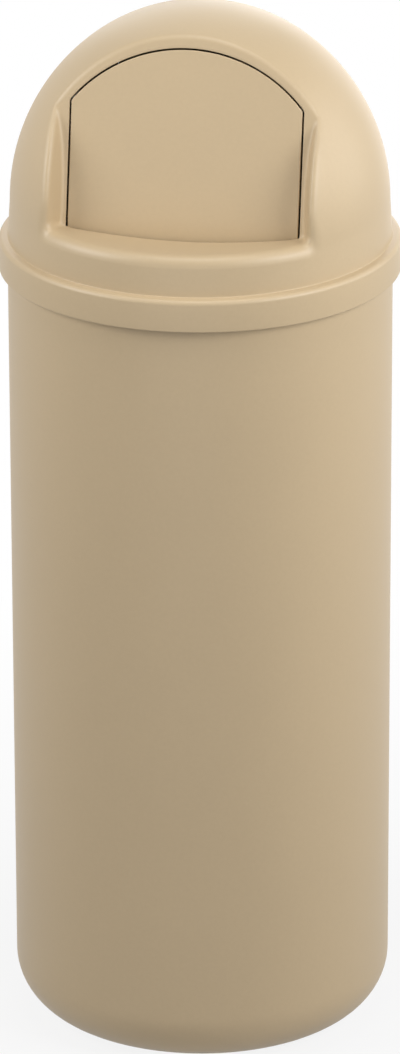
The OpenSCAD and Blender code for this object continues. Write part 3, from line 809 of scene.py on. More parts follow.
@dataclass(frozen=True)
class ArchOutline:
    """Outline with an arched top, of the door or of its opening, on the face."""

    half_w: float
    arch_r: float
    corner_r: float
    centre_v: float = 7.6

    def corner(self) -> Corner:
        """Gives the corner arc's centre (u, v) and the angle at which the arch takes over."""
        u = self.half_w - self.corner_r
        rise = math.sqrt((self.arch_r - self.corner_r) ** 2 - u * u)
        return u, self.centre_v + rise, math.atan2(rise, u)

    def bend(self, angle: Array, inset: float = 0.0) -> Tuple[Array, Array]:
        """Gives u and v on the corner arc, drawn in by an inset."""
        u, v, r = *self.corner()[:2], self.corner_r - inset
        return u + r * np.cos(angle), v + r * np.sin(angle)

    def arch(self, angle: Array, inset: float = 0.0) -> Tuple[Array, Array]:
        """Gives u and v on the arch, drawn in by an inset."""
        r = self.arch_r - inset
        return r * np.cos(angle), self.centre_v + r * np.sin(angle)


# Domed top


@dataclass
class DomeTop:
    """The domed top: shell, collar, recess with its sill, and the flange behind the sill.

    Its outside is where a surface function is zero: an oval of two tangent arcs and a skirt, less the
    recess, with the edges between them rounded. Rings of points are laid out and settled onto it.
    """

    shop: Workshop
    opening: ArchOutline = ArchOutline(116.3, 149.3, 8.0)
    dome_r: float = 188.6
    extra: float = 9.8
    meet: Point2 = (0.6, 0.8)
    skirt_r: float = 190.6
    skirt_z: float = 835.0
    foot_z: float = 834.0
    recess_half_w: float = 130.0
    draft_deg: float = 14.5
    wall: float = 4.0
    sill_pitch_deg: float = 9.1
    sill_lip_r: float = 8.0
    sill_lip_out: float = 0.12
    sill_lip_sink: float = 0.05
    sill_drop: float = 3.8
    sill_end_u: float = 122.0
    sill_set_back: float = 7.0
    edge_ahead: float = 0.8
    rim_sink: float = 0.1
    flange_t: float = 4.0
    flange_gap: float = 0.8
    flange_drop: float = 17.0
    flange_round: Point2 = (0.8, 0.25)
    n_flange: int = 49
    boss_r: float = 4.2
    boss_h: float = 8.0
    boss_flare: Point2 = (1.5, 3.0)
    arch_round: float = 3.6
    side_round: float = 9.0
    lip_round: float = 14.0
    inner_round: float = 4.0
    inner_swell: float = 5.0
    swell_reach: float = 25.0
    side_reach: float = 16.0
    lip_from_z: float = 900.0
    lip_reach: float = 20.0
    foot_gap: float = 0.9
    foot_soft: float = 1.1
    least_land: float = 3.0
    bevel: float = 0.7
    bevel_in: float = 0.2
    mean_r: float = 190.0
    foot_step: float = 0.2
    settle_rounds: int = 14
    longest_step: float = 3.0
    slope_step: float = 0.02
    collar: Tuple[Corner, ...] = ((190.9, 831.2, 1.0), (200.0, 829.9, 5.0), (200.0, 798.0, 1.3),
                                  (196.0, 798.0, 0.8), (196.0, 827.0, 0.4), (186.7, 827.0, 0.8))
    n_low: int = 100
    n_side: int = 46
    n_bend: int = 7
    n_arch: int = 132
    n_dome: int = 52
    face_shares: Tuple[float, ...] = (0.28, 0.45, 0.65, 0.85, 1.0)
    wall_shares: Tuple[float, ...] = (0.012, 0.03, 0.055, 0.09, 0.14, 0.2, 0.3, 0.42, 0.55, 0.67, 0.77,
                                      0.85, 0.91, 0.95, 0.98, 1.0)
    edge_steps: Tuple[float, ...] = (0.5, 1.1, 1.8, 2.7, 3.8, 5.2, 7.0, 9.2, 12.0)

    def __post_init__(self) -> None:
        """Works out the two arcs, the sill's cone, the draft and the recess's upper corner."""
        pitch, draft = math.radians(self.sill_pitch_deg), math.radians(self.draft_deg)
        self.sill_tan, self.sill_cos = math.tan(pitch), math.cos(pitch)
        self.draft_sin, self.draft_cos = math.sin(draft), math.cos(draft)
        self.crown_r, self.crown_up = self.dome_r - self.extra, 2.0 * self.extra
        self.side_back = -1.5 * self.extra
        self.side_r = self.dome_r - self.side_back
        self.skirt_slope = (self.skirt_r - self.dome_r) / (FACE.spring_z - self.skirt_z)
        self.foot_r = self.dome_r + (FACE.spring_z - self.foot_z) * self.skirt_slope
        self.lip_phi = math.asin(self.recess_half_w / self.dome_r)
        lip_r = self.dome_r + self.sill_drop * self.skirt_slope - self.sill_lip_r + self.sill_lip_out
        self.sill_tip = (FACE.spring_z - self.sill_drop - lip_r * self.sill_tan
                         + (self.sill_lip_r - self.sill_lip_sink) / self.sill_cos)
        self.corner_z = float(last_true(
            lambda z: self.dome_n(self.recess_half_w, z) > FACE.foot_n - FACE.v_at(z) * FACE.sin,
            np.array(950.0), np.array(1010.0)))
        self.corner_v = FACE.v_at(self.corner_z)

    def dome_n(self, u: float, z: Array) -> Array:
        """How far forward the dome's outside lies at a distance u from the middle and a height z.

        Args:
            u: distance from the middle.
            z: heights.

        Returns:
            The distances.
        """
        h = np.asarray(z, float) - FACE.spring_z
        crown = np.sqrt(np.maximum(self.crown_r ** 2 - (h - self.crown_up) ** 2, 0.0))
        side = self.side_back + np.sqrt(np.maximum(self.side_r ** 2 - h ** 2, 0.0))
        r = np.where(h > self.crown_up + self.meet[1] * self.crown_r, crown, side)
        return np.sqrt(np.maximum(r ** 2 - u * u, 0.0))

    def outside(self, p: Array) -> Array:
        """Distance of points outside the dome and its skirt, without recess or collar.

        Args:
            p: the points.

        Returns:
            Their distances, negative inside.
        """
        r = np.hypot(p[..., 0], p[..., 1])
        h = p[..., 2] - FACE.spring_z
        crown = np.hypot(r, h - self.crown_up) - self.crown_r
        side = np.hypot(r - self.side_back, h) - self.side_r
        cone = (r - (self.dome_r - h * self.skirt_slope)) / math.hypot(1.0, self.skirt_slope)
        in_crown = self.meet[0] * (h - self.crown_up) - self.meet[1] * r > 0.0
        return np.where(h < 0.0, cone, np.where(in_crown, crown, side))

    def side_wall(self, z: Array) -> Array:
        """Place of the recess's drafted side wall at heights z, square to the wall."""
        n = self.dome_n(self.recess_half_w, np.minimum(z, self.corner_z))
        return self.recess_half_w * self.draft_cos - n * self.draft_sin

    def wall_u(self, p: Array) -> Array:
        """Half width of the recess at the height and depth of points."""
        return (self.side_wall(p[..., 2]) - p[..., 1] * self.draft_sin) / self.draft_cos

    def air(self, p: Array) -> Array:
        """Depth of points inside the recess's air, with its inner corners rounded.

        Args:
            p: the points.

        Returns:
            Their depths, negative outside the recess.
        """
        side = self.side_wall(p[..., 2]) - (np.abs(p[..., 0]) * self.draft_cos + p[..., 1] * self.draft_sin)
        r = np.hypot(p[..., 0], p[..., 1])
        sill = (p[..., 2] - self.sill_tip - r * self.sill_tan) * self.sill_cos
        front = FACE.out_of_plane(p)
        low = smooth_max(-front, -sill, np.full(r.shape, self.inner_round))
        ahead = np.clip(front / self.swell_reach, 0.0, 1.0)
        return -smooth_max(low, -side, self.inner_round + self.inner_swell * ahead)

    def surface(self, p: Array) -> Array:
        """Zero on the rounded outside of the dome top, positive outside it.

        Args:
            p: the points.

        Returns:
            The function's values.
        """
        near_sill = np.clip((self.lip_from_z - p[..., 2]) / self.lip_reach, 0.0, 1.0)
        beside = np.clip((self.corner_z - p[..., 2]) / self.side_reach, 0.0, 1.0)
        k = self.arch_round + (self.side_round - self.arch_round) * beside
        k = k + (self.lip_round - self.side_round) * near_sill
        return smooth_max(self.outside(p), self.air(p), k)

    def gradient(self, p: Array) -> Array:
        """Slope of the surface function at points."""
        step = self.slope_step
        parts = [(self.surface(p + d) - self.surface(p - d)) / (2.0 * step) for d in np.eye(3) * step]
        return np.stack(parts, axis=-1)

    def settle(self, p: Array) -> Array:
        """Moves points onto the rounded surface along its slope.

        Args:
            p: the points.

        Returns:
            The moved points.
        """
        p = p.copy()
        for _ in range(self.settle_rounds):
            g = self.gradient(p)
            step = -self.surface(p)[..., None] * g / np.maximum((g * g).sum(-1, keepdims=True), 1e-3)
            p += step * np.minimum(1.0, self.longest_step / np.maximum(length_of(step), TINY))
        return p

    def sill_v(self, u: Array, w: float = 0.0, under: float = 0.0) -> Array:
        """Finds where the sill, or a cone under it, meets the face or a plane beside it.

        Args:
            u: distances from the middle.
            w: how far the plane lies in front of the face.
            under: how far the cone lies under the sill.

        Returns:
            The heights up the plane.
        """
        v = np.full(np.shape(u), -30.0)
        for _ in range(20):
            n = FACE.foot_n - v * FACE.sin + w * FACE.cos
            v = FACE.v_at(self.sill_tip + np.hypot(u, n) * self.sill_tan - under - w * FACE.sin)
        return v

    def loops(self) -> Tuple[Array, ...]:
        """Lays out the edges that the shell's rings start from.

        Returns:
            Matching loops: the opening's edge, the recess's inner edge and its outer edge.
        """
        gate, half = self.opening, self.recess_half_w
        _, cv, ca = gate.corner()

        def mirrored(top: Array, side: Array) -> Array:
            """Gives the left side, from its top down, of a right side."""
            return np.concatenate([top[None], side[:0:-1]]) * flip

        flip = np.array([-1.0, 1.0, 1.0])
        q = np.arange(self.n_low) / self.n_low
        across = 2.0 * q - 1.0
        u = gate.half_w * across
        low_open = FACE.point(u, self.sill_v(u), self.edge_ahead * eased(q, 12.0))
        corner_u = float(self.wall_u(FACE.point(0.0, self.sill_v(np.array(self.sill_end_u)))))
        u = corner_u * across
        low_in = FACE.point(u, self.sill_v(u))
        low_in[:, 1] -= self.sill_set_back * eased(q, 6.0)
        low_in[:, 2] = self.sill_tip + np.hypot(low_in[:, 0], low_in[:, 1]) * self.sill_tan
        r = self.dome_r - self.rim_sink
        low_out = level_ring(self.lip_phi * across, r, self.sill_tip + r * self.sill_tan)

        q = np.arange(self.n_side) / self.n_side
        open_v, in_v = self.sill_v(np.array([gate.half_w, corner_u]))
        side_open = FACE.point(gate.half_w, open_v + (cv - open_v) * q)
        side_in = FACE.point(0.0, in_v + (self.corner_v - in_v) * q)
        side_in[:, 0] = self.wall_u(side_in)
        out_z = self.sill_tip + self.dome_r * self.sill_tan
        z = np.append(out_z + (self.corner_z - out_z) * q, self.corner_z)
        side_out = np.stack([np.full(len(z), half), -self.dome_n(half, z), z], axis=-1)

        q = np.arange(self.n_bend) / self.n_bend
        over = ca + (math.pi - 2.0 * ca) * np.arange(self.n_arch) / self.n_arch
        a0 = math.atan2(self.corner_v - gate.centre_v, half)
        angle = np.concatenate([a0 + (ca - a0) * q, over,
                                math.pi - (ca + (a0 - ca) * (q + 1.0 / self.n_bend))])

        def on_face(reach: Array) -> Array:
            """Gives the points at distances from the arch's centre."""
            return FACE.point(reach * np.cos(angle), gate.centre_v + reach * np.sin(angle))

        arch = on_face(last_true(lambda reach: self.outside(on_face(reach)) < 0.0,
                                 np.full(angle.shape, 100.0), np.full(angle.shape, 200.0)))
        edge = np.concatenate([
            low_open, side_open, FACE.point(*gate.bend(ca * q)), FACE.point(*gate.arch(over)),
            FACE.point(*gate.bend(ca * (1.0 - q))) * flip, mirrored(FACE.point(gate.half_w, cv), side_open)])
        inner = np.concatenate([low_in, side_in, arch, mirrored(FACE.point(half, self.corner_v), side_in)])
        outer = np.concatenate([low_out, side_out[:-1], arch, mirrored(side_out[-1], side_out[:-1])])
        band = np.maximum(length_of(edge - inner), 1e-6)
        pull = np.clip((self.least_land - length_of(outer - inner)) / band, 0.0, 0.6)
        return edge, inner + (edge - inner) * pull, outer

    def over_dome(self, outer: Array, phi: Array) -> List[Array]:
        """Lays out the rings from the recess's outer edge over the dome to its foot.

        Args:
            outer: the recess's outer edge.
            phi: the angles at which the rings reach the foot.

        Returns:
            The rings, not yet settled.
        """
        centre = np.array([0.0, 0.0, FACE.spring_z])
        ways = [loop - centre for loop in (outer, level_ring(phi, self.foot_r, self.foot_z))]
        (d0, d1), (l0, l1) = map(unit, ways), map(length_of, ways)
        spread = np.arccos(np.clip((d0 * d1).sum(-1, keepdims=True), -1.0, 1.0))
        near = [step / (spread * self.mean_r) for step in self.edge_steps]
        far = [near[-1] + (1.0 - near[-1]) * i / self.n_dome for i in range(1, self.n_dome + 1)]
        rings = []
        for f in near + far:
            way = (np.sin((1.0 - f) * spread) * d0 + np.sin(f * spread) * d1) / np.sin(spread)
            rings.append(centre + way * (l0 + (l1 - l0) * f))
        return rings

    def rings(self) -> List[Array]:
        """Lays out the whole shell.

        Returns:
            Its rings, from the opening's edge round the collar and back inside.
        """
        edge, inner, outer = self.loops()
        start = self.settle(edge)
        q = np.arange(len(start)) / self.n_low
        roll = eased(q, 16.0)[:, None]
        start = self.settle(start + unit(inner - start) * self.foot_gap * roll)
        path = [start + (inner - start) * f for f in self.face_shares]
        path += [inner + (outer - inner) * f for f in self.wall_shares]

        along = np.cumsum(length_of(np.roll(outer, -1, axis=0) - outer)[self.n_low:])
        share = np.append(0.0, along[:-1]) / along[-1]
        phi = np.append(self.lip_phi * (2.0 * q[:self.n_low] - 1.0),
                        self.lip_phi + (TAU - 2.0 * self.lip_phi) * share)
        path += self.over_dome(outer, phi)[:-1]
        settled = [self.settle(p) for p in path] + [level_ring(phi, self.foot_r, self.foot_z)]

        foot_in = (self.foot_r - self.wall, self.foot_z - self.foot_step)
        profile = rounded([(self.foot_r, self.foot_z, 0.0), *self.collar, (*foot_in, 0.0)], 9.0)[1:-1]
        collar = [level_ring(phi, r, z) for r, z in profile]

        shell = [start] + settled
        back = [ring - unit(self.gradient(ring)) * self.wall for ring in shell[::-1]]
        back[0] = level_ring(phi, *foot_in)
        kept = [ring for i, ring in enumerate(back) if i < 2 or i % 2 == 0 or i > len(back) - 8]
        normal, onward = unit(self.gradient(start)), unit(settled[0] - start)
        soft = 1.0 + self.foot_soft * roll
        bevel = [start - normal * (self.wall - SINK), start - normal * self.bevel * soft,
                 start + (onward * self.bevel_in - normal * self.bevel_in) * soft]
        shell[0] = self.settle(start + onward * self.bevel * soft)
        return bevel + shell + collar + kept[:-1] + [start + onward * SINK - normal * self.wall]

    def flange(self) -> Mesh:
        """Makes the stop flange that hangs behind the sill.

        Returns:
            Its mesh.
        """
        low = float(self.sill_v(np.array(0.0))) - self.flange_drop
        front, back = self.flange_gap + self.flange_t, self.flange_gap
        wide, tight = self.flange_round
        lip_w = [back, back + tight, back + wide, front - wide, front - tight, front, front, back]
        lip_v = [low + wide, low + tight, low, low, low + tight, low + wide]
        across = np.linspace(-self.opening.half_w, self.opening.half_w, self.n_flange)
        tops = [self.sill_v(across, w, 0.5 * self.wall / self.sill_cos) for w in (front, back)]
        rings = [FACE.point(u, lip_v + list(top), lip_w) for u, *top in zip(across, *tops)]
        count = len(rings[0])
        last = (len(rings) - 1) * count
        faces = ring_faces(len(rings), count) + [tuple(range(count)), tuple(range(last, last + count))]
        return tidy_mesh(mesh_from("stop_flange", np.concatenate(rings), faces), sharp_deg=40.0)

    def bosses(self) -> List[Mesh]:
        """Makes the four bosses that the hinge brackets are screwed to.

        Returns:
            Their meshes.
        """
        root, top = -self.wall + SINK, -self.wall - self.boss_h
        wide, deep = self.boss_flare
        corners = [(0.0, root, 0.0), (self.boss_r + wide, root, 0.0), (self.boss_r, root - deep, 2.0),
                   (self.boss_r, top, 0.5), (0.0, top, 0.0)]
        made = []
        for u in (-FACE.screw_u, FACE.screw_u):
            for v in FACE.screw_v:
                mesh = self.shop.lathe.turned("bracket_boss", corners, 15.0, self.shop.paint[Slot.BIN], 32)
                made.append(stood(mesh, FACE.point(u, v), (1.0, 0.0, 0.0), (0.0, FACE.sin, FACE.cos),
                                  FACE.normal))
        return made

    def build(self) -> Mesh:
        """Builds the domed top.

        Returns:
            Its mesh.
        """
        rings = self.rings()
        shell = mesh_from("dome_shell", np.concatenate(rings),
                          ring_faces(len(rings), len(rings[0]), closed=True))
        tidy_mesh(shell, sharp_deg=40.0, merge=1e-7)
        return joined("dome_top_shell", [shell, self.flange(), *self.bosses()], self.shop.paint[Slot.BIN])


# Body shell


@dataclass
class BodyShell:
    """The round body with its rolled base edge, rim bead and ribbed underside."""

    shop: Workshop
    top_r: float = 191.4
    foot_r: float = 190.0
    height: float = 827.0
    wall: float = 4.0
    edge_r: float = 58.0
    bead_h: float = 8.0
    bead_out: float = 3.2
    recess_r: float = 100.0
    recess_h: float = 7.0
    rib_count: int = 8
    rib_t: float = 3.5
    rib_lift: float = 2.0
    hub_r: float = 14.0

    def profile(self) -> List[Corner]:
        """Gives the section from the axis, under the base, up the wall and back down inside.

        Returns:
            Its corners.
        """
        t, lift, hollow = self.wall, self.rib_lift, self.recess_h
        bead_r, bead_z = self.top_r + self.bead_out, self.height - self.bead_h
        inner_r = self.foot_r - self.wall
        return [(0.0, lift, 0.0), (self.hub_r, lift, 0.6), (self.hub_r, hollow, 0.6),
                (self.recess_r, hollow, 1.0), (self.recess_r, 0.0, 0.8), (self.foot_r, 0.0, self.edge_r),
                (self.top_r - 0.02, bead_z, 0.4), (bead_r, bead_z, 2.0), (bead_r, self.height, 2.0),
                (self.top_r - t, self.height, 1.0), (inner_r, self.edge_r, 60.0),
                (inner_r, t, self.edge_r - t - 0.5), (self.recess_r + t, t, 0.8),
                (self.recess_r + t, hollow + t, 1.0), (0.0, hollow + t, 0.0)]

    def build(self) -> Mesh:
        """Builds the body shell.

        Returns:
            Its mesh.
        """
        beige = self.shop.paint[Slot.BIN]
        shell = self.shop.lathe.turned("body_wall", self.profile(), 5.0, beige, 288, sharp_deg=30.0)
        root = np.array([0.0, 0.0, self.recess_h + SINK])
        chains = []
        for i in range(self.rib_count):
            angle = TAU * i / self.rib_count
            way = np.array([math.cos(angle), math.sin(angle), 0.0])
            chains.append([way * (self.hub_r - 2.0 * SINK) + root, way * (self.recess_r + SINK) + root])
        reach = (0.0, 0.0, self.rib_lift - self.recess_h - SINK)
        spokes = self.shop.ribs.raised("base_ribs", chains, reach, self.rib_t, beige)
        return joined("body_shell_turned", [shell, spokes], beige)


# Push door


@dataclass
class PushDoor:
    """The arched push door: a panel with a foot that bends back, ribs and knuckles.

    The panel is rings from middle out to the edge, at the given shares of the way, and back behind. A
    knuckle's web spans web_low under to web_high over its axis, as shares of its radius.
    """

    shop: Workshop
    gate: ArchOutline = ArchOutline(114.5, 147.5, 6.2)
    low_v: float = -44.37
    foot_corner: float = 3.0
    bend_v: float = -10.37
    bend_r: float = 150.0
    thick: float = 4.0
    edge_r: float = 0.9
    edge_land: float = 0.7
    rib_t: float = 2.5
    rib_d: float = 8.0
    rib_inset: float = 2.0
    top_rib_v: float = 52.5
    knuckle_r: float = 7.5
    knuckle_w: float = 10.0
    knuckle_u: Tuple[float, ...] = (-104.0, -24.0, 24.0, 104.0)
    knuckle_edge: float = 0.5
    web_low: float = 0.9
    web_high: float = 0.36
    bore_r: float = 3.05
    middle: Point2 = (0.0, 30.0)
    n_foot: int = 7
    n_side: int = 44
    n_low: int = 60
    n_corner: int = 9
    n_arch: int = 70
    n_front: int = 6
    n_back: int = 4
    n_rib: int = 24
    shares: Tuple[float, ...] = (0.06, 0.16, 0.27, 0.38, 0.49, 0.59, 0.68, 0.76, 0.83, 0.89, 0.94, 0.975)

    def on_panel(self, u: object, v: Array, depth: float) -> Array:
        """Gives the points at places u and v on the panel, at a depth under its front."""
        below = np.minimum(np.asarray(v, float) - self.bend_v, 0.0)
        return FACE.point(u, v, np.sqrt((self.bend_r - depth) ** 2 - below ** 2) - self.bend_r)

    def outline(self, inset: float) -> Array:
        """Gives the panel's outline, drawn in by an inset.

        Args:
            inset: how far inside the panel's edge it runs.

        Returns:
            (u, v) points, the same number for every inset.
        """
        gate, foot = self.gate, self.foot_corner
        _, cv, ca = gate.corner()
        flat_u, small = gate.half_w - foot, max(foot - inset, 0.3)
        a = np.linspace(-math.pi / 2.0, 0.0, self.n_foot)
        v = np.linspace(self.low_v + foot, cv, self.n_side)[1:-1]
        u = np.linspace(-flat_u, flat_u, self.n_low)[1:-1]
        right = np.concatenate([np.stack(pair, axis=-1) for pair in (
            (flat_u + small * np.cos(a), self.low_v + foot + small * np.sin(a)),
            (np.full(len(v), gate.half_w - inset), v),
            gate.bend(np.linspace(0.0, ca, self.n_corner), inset),
            gate.arch(np.linspace(ca, math.pi / 2.0, self.n_arch)[1:-1], inset))])
        top = [[0.0, gate.centre_v + gate.arch_r - inset]]
        bottom = np.stack([u, np.full(len(u), self.low_v + inset)], axis=-1)
        return np.concatenate([right, top, right[::-1] * (-1.0, 1.0), bottom])

    def panel(self) -> Mesh:
        """Makes the panel with its rounded edges.

        Returns:
            Its mesh.
        """
        e, t, middle = self.edge_r, self.thick, np.array(self.middle)
        rim = self.outline(e)
        flats = [middle + (rim - middle) * s for s in self.shares] + [self.outline(e + self.edge_land)]
        rows = [(flat, 0.0) for flat in flats]
        for angles, side, way in ((np.linspace(0.0, math.pi / 2.0, self.n_front), 0.0, 1.0),
                                  (np.linspace(math.pi / 2.0, 0.0, self.n_back), t, -1.0)):
            rows += [(self.outline(e * (1.0 - math.sin(a))), side + way * e * (1.0 - math.cos(a)))
                     for a in angles]
        rows += [(flat, t) for flat in flats[::-1]]
        count, last = len(rim), (len(rows) - 1) * len(rim)
        points = [self.on_panel(p[:, 0], p[:, 1], depth) for p, depth in rows]
        points += [FACE.point(*middle, -depth)[None] for depth in (0.0, t)]
        faces = ring_faces(len(rows), count)
        for centre, first in ((last + count, 0), (last + count + 1, last)):
            faces += [(centre, first + j, first + (j + 1) % count) for j in range(count)]
        return tidy_mesh(mesh_from("door_panel", np.concatenate(points), faces), sharp_deg=40.0)

    def knuckle(self, u: float) -> Mesh:
        """Makes one knuckle with its web to the panel and its bore.

        Args:
            u: the knuckle's middle.

        Returns:
            Its mesh.
        """
        r, far_w = self.knuckle_r, -FACE.hinge_w - self.thick + SINK
        high, low = self.web_high * r, -self.web_low * r
        spots = ((far_w, high), (far_w, low), (math.sqrt(r ** 2 - high ** 2), high),
                 (math.sqrt(r ** 2 - low ** 2), low))
        angles = np.append(np.linspace(0.0, TAU, 49)[:-1], [math.atan2(v, w) % TAU for w, v in spots])
        angles = np.unique(angles.round(6))
        outer = []
        for c, s in zip(np.cos(angles), np.sin(angles)):
            limits = [far_w / c] if c > TINY else [0.0]
            limits += [edge / s for edge in (high, low) if edge * s > TINY]
            outer.append(max(r, min(limits)))
        bore, radii = np.full(len(angles), self.bore_r), np.array(outer)
        half, e = self.knuckle_w / 2.0, self.knuckle_edge
        rows = ((bore, -half), (radii - e, -half), (radii, -half + e), (radii, half - e), (radii - e, half),
                (bore, half))
        rings = [FACE.point(u + aside, FACE.hinge_v + r * np.sin(angles), FACE.hinge_w + r * np.cos(angles))
                 for r, aside in rows]
        faces = ring_faces(len(rings), len(angles), closed=True)
        return tidy_mesh(mesh_from("door_knuckle", np.concatenate(rings), faces), sharp_deg=30.0)

    def build(self) -> Mesh:
        """Builds the door.

        Returns:
            Its mesh.
        """
        beige, half_t, root = self.shop.paint[Slot.BIN], self.rib_t / 2.0, self.thick - SINK
        low = self.low_v + self.rib_inset + half_t
        upright_v = np.linspace(low - half_t, FACE.hinge_v - self.knuckle_r + self.rib_inset, self.n_rib)
        chains = [self.on_panel(u, upright_v, root) for u in self.knuckle_u]
        ends = [self.knuckle_u[0], self.knuckle_u[-1]]
        chains += [self.on_panel(ends, v, root)
                   for v in (low, (low + self.top_rib_v) / 2.0, self.top_rib_v + half_t)]
        reach = -FACE.normal * (self.rib_d + SINK)
        grid = self.shop.ribs.raised("door_ribs", chains, reach, self.rib_t, beige)
        knuckles = [self.knuckle(u) for u in self.knuckle_u]
        return joined("push_door_panel", [self.panel(), grid, *knuckles], beige)


# Hinge and springs


@dataclass
class HingeLine:
    """All that sits on the hinge rod: rod, bushings, spacers, push nuts and springs."""

    shop: Workshop
    rod_r: float = 3.0
    rod_half: float = 124.6
    rod_edge: float = 0.5
    bore_r: float = 3.05
    bracket_u: float = 117.6
    bracket_t: float = 3.0
    bushing_r: float = 4.8
    bushing_flange_r: float = 7.0
    bushing_flange_t: float = 1.2
    spacer_r: float = 5.4
    spacer_u: Point2 = (109.3, 116.1)
    nut_r: float = 6.0
    nut_t: float = 1.4
    nut_u: float = 120.9
    wire_r: float = 0.8
    coil_r: float = 5.6
    coil_u: float = 70.0
    turns: int = 6
    steps_a_turn: int = 28
    pitch: float = 2.1
    dome_leg: Point2 = (41.966, 10.9)
    door_leg: Point2 = (-45.0, 10.9)

    def turned(self, name: str, corners: Sequence[Corner], slot: Slot, sharp_deg: float = 35.0) -> Mesh:
        """Turns a profile about the rod.

        Args:
            name: the mesh's name.
            corners: (r, u, radius) corners of the profile.
            slot: the slot of its material.
            sharp_deg: edges that turn more than this stay sharp.

        Returns:
            The mesh in place.
        """
        mesh = self.shop.lathe.turned(name, corners, 15.0, self.shop.paint[slot], 48, sharp_deg)
        return stood(mesh, FACE.point(0.0, FACE.hinge_v, FACE.hinge_w), (0.0, FACE.sin, FACE.cos),
                     FACE.normal, (1.0, 0.0, 0.0))

    def ring(self, name: str, section: Sequence[Corner], side: Side, slot: Slot) -> Mesh:
        """Turns a ring round the rod on one side, from the corners of its section."""
        corners = [(r, u * side.value, e) for r, u, e in (*section, section[0])]
        return self.turned(name, corners, slot)

    def rod(self) -> Mesh:
        """Builds the rod with chamfered ends."""
        r, u, e = self.rod_r, self.rod_half, self.rod_edge
        corners = [(0.0, -u), (r - e, -u), (r, -u + e), (r, u - e), (r - e, u), (0.0, u)]
        return self.turned("hinge_rod_turned", [(*spot, 0.0) for spot in corners], Slot.ZINC, sharp_deg=30.0)

    def bushing(self, side: Side) -> Mesh:
        """Builds one flanged bushing."""
        bore, r, wide, seat = self.bore_r, self.bushing_r, self.bushing_flange_r, self.bracket_u
        u0, u1 = seat - self.bushing_flange_t, seat + self.bracket_t
        section = [(bore, u0, 0.2), (wide, u0, 0.3), (wide, seat, 0.3), (r, seat, 0.0), (r, u1, 0.2),
                   (bore, u1, 0.2)]
        return self.ring(f"rod_bushing_{side.name.lower()}_turned", section, side, Slot.NYLON)

    def spacer(self, side: Side) -> Mesh:
        """Builds one spacer tube."""
        bore, r, (u0, u1) = self.bore_r, self.spacer_r, self.spacer_u
        section = [(bore, u0, 0.2), (r, u0, 0.4), (r, u1, 0.4), (bore, u1, 0.2)]
        return self.ring(f"rod_spacer_{side.name.lower()}_turned", section, side, Slot.NYLON)

    def push_nuts(self) -> Mesh:
        """Builds the two dished push nuts."""
        rod, u0, t, r = self.rod_r, self.nut_u, self.nut_t, self.nut_r
        section = [(rod, u0, 0.0), (r - 0.6, u0, 0.3), (r, u0 + 0.3 * t, 0.2), (r, u0 + 0.6 * t, 0.2),
                   (r - 1.5, u0 + t, 0.3), (rod, u0 + t, 0.0)]
        nuts = [self.ring("push_nut", section, side, Slot.ZINC) for side in Side]
        return joined("rod_push_nuts_turned", nuts, self.shop.paint[Slot.ZINC])

    def spring(self, side: Side) -> Mesh:
        """Builds one torsion spring: a straight leg on the dome, the coil, a leg on the door.

        Args:
            side: the spring's side.

        Returns:
            Its mesh.
        """
        lean = [math.acos(self.coil_r / math.hypot(*leg)) for leg in (self.dome_leg, self.door_leg)]
        start = math.atan2(self.dome_leg[1], self.dome_leg[0]) + lean[0]
        end = math.atan2(self.door_leg[1], self.door_leg[0]) - lean[1] + TAU * self.turns
        steps, length = self.steps_a_turn * self.turns, self.pitch * self.turns
        route = [(0.0, *self.dome_leg)]
        for i in range(steps + 1):
            a = start + (end - start) * i / steps
            route.append((-length * i / steps, self.coil_r * math.cos(a), self.coil_r * math.sin(a)))
        route.append((-length, *self.door_leg))
        places = [FACE.point(side.value * (self.coil_u + u), FACE.hinge_v + v, FACE.hinge_w + w)
                  for u, v, w in route]
        name = f"door_spring_{side.name.lower()}_wound"
        return self.shop.wire.along(name, places, self.wire_r, self.shop.paint[Slot.SPRING], sides=12)

    def fit_spring(self, side: Side) -> None:
        """Puts one spring into the scene as an object of its own and hides the CAD spring that it stands for.

        Args:
            side: the spring's side.
        """
        mesh = self.spring(side)
        piece = new_object(mesh.name, mesh)
        rest = FACE.point(0.0, FACE.hinge_v, FACE.hinge_w)
        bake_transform(piece)
        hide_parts(f"door_spring_{side.name.lower()}")
        log.info("%s: %d points, blended from dome to door", piece.name, len(mesh.vertices))


# Liner and handles


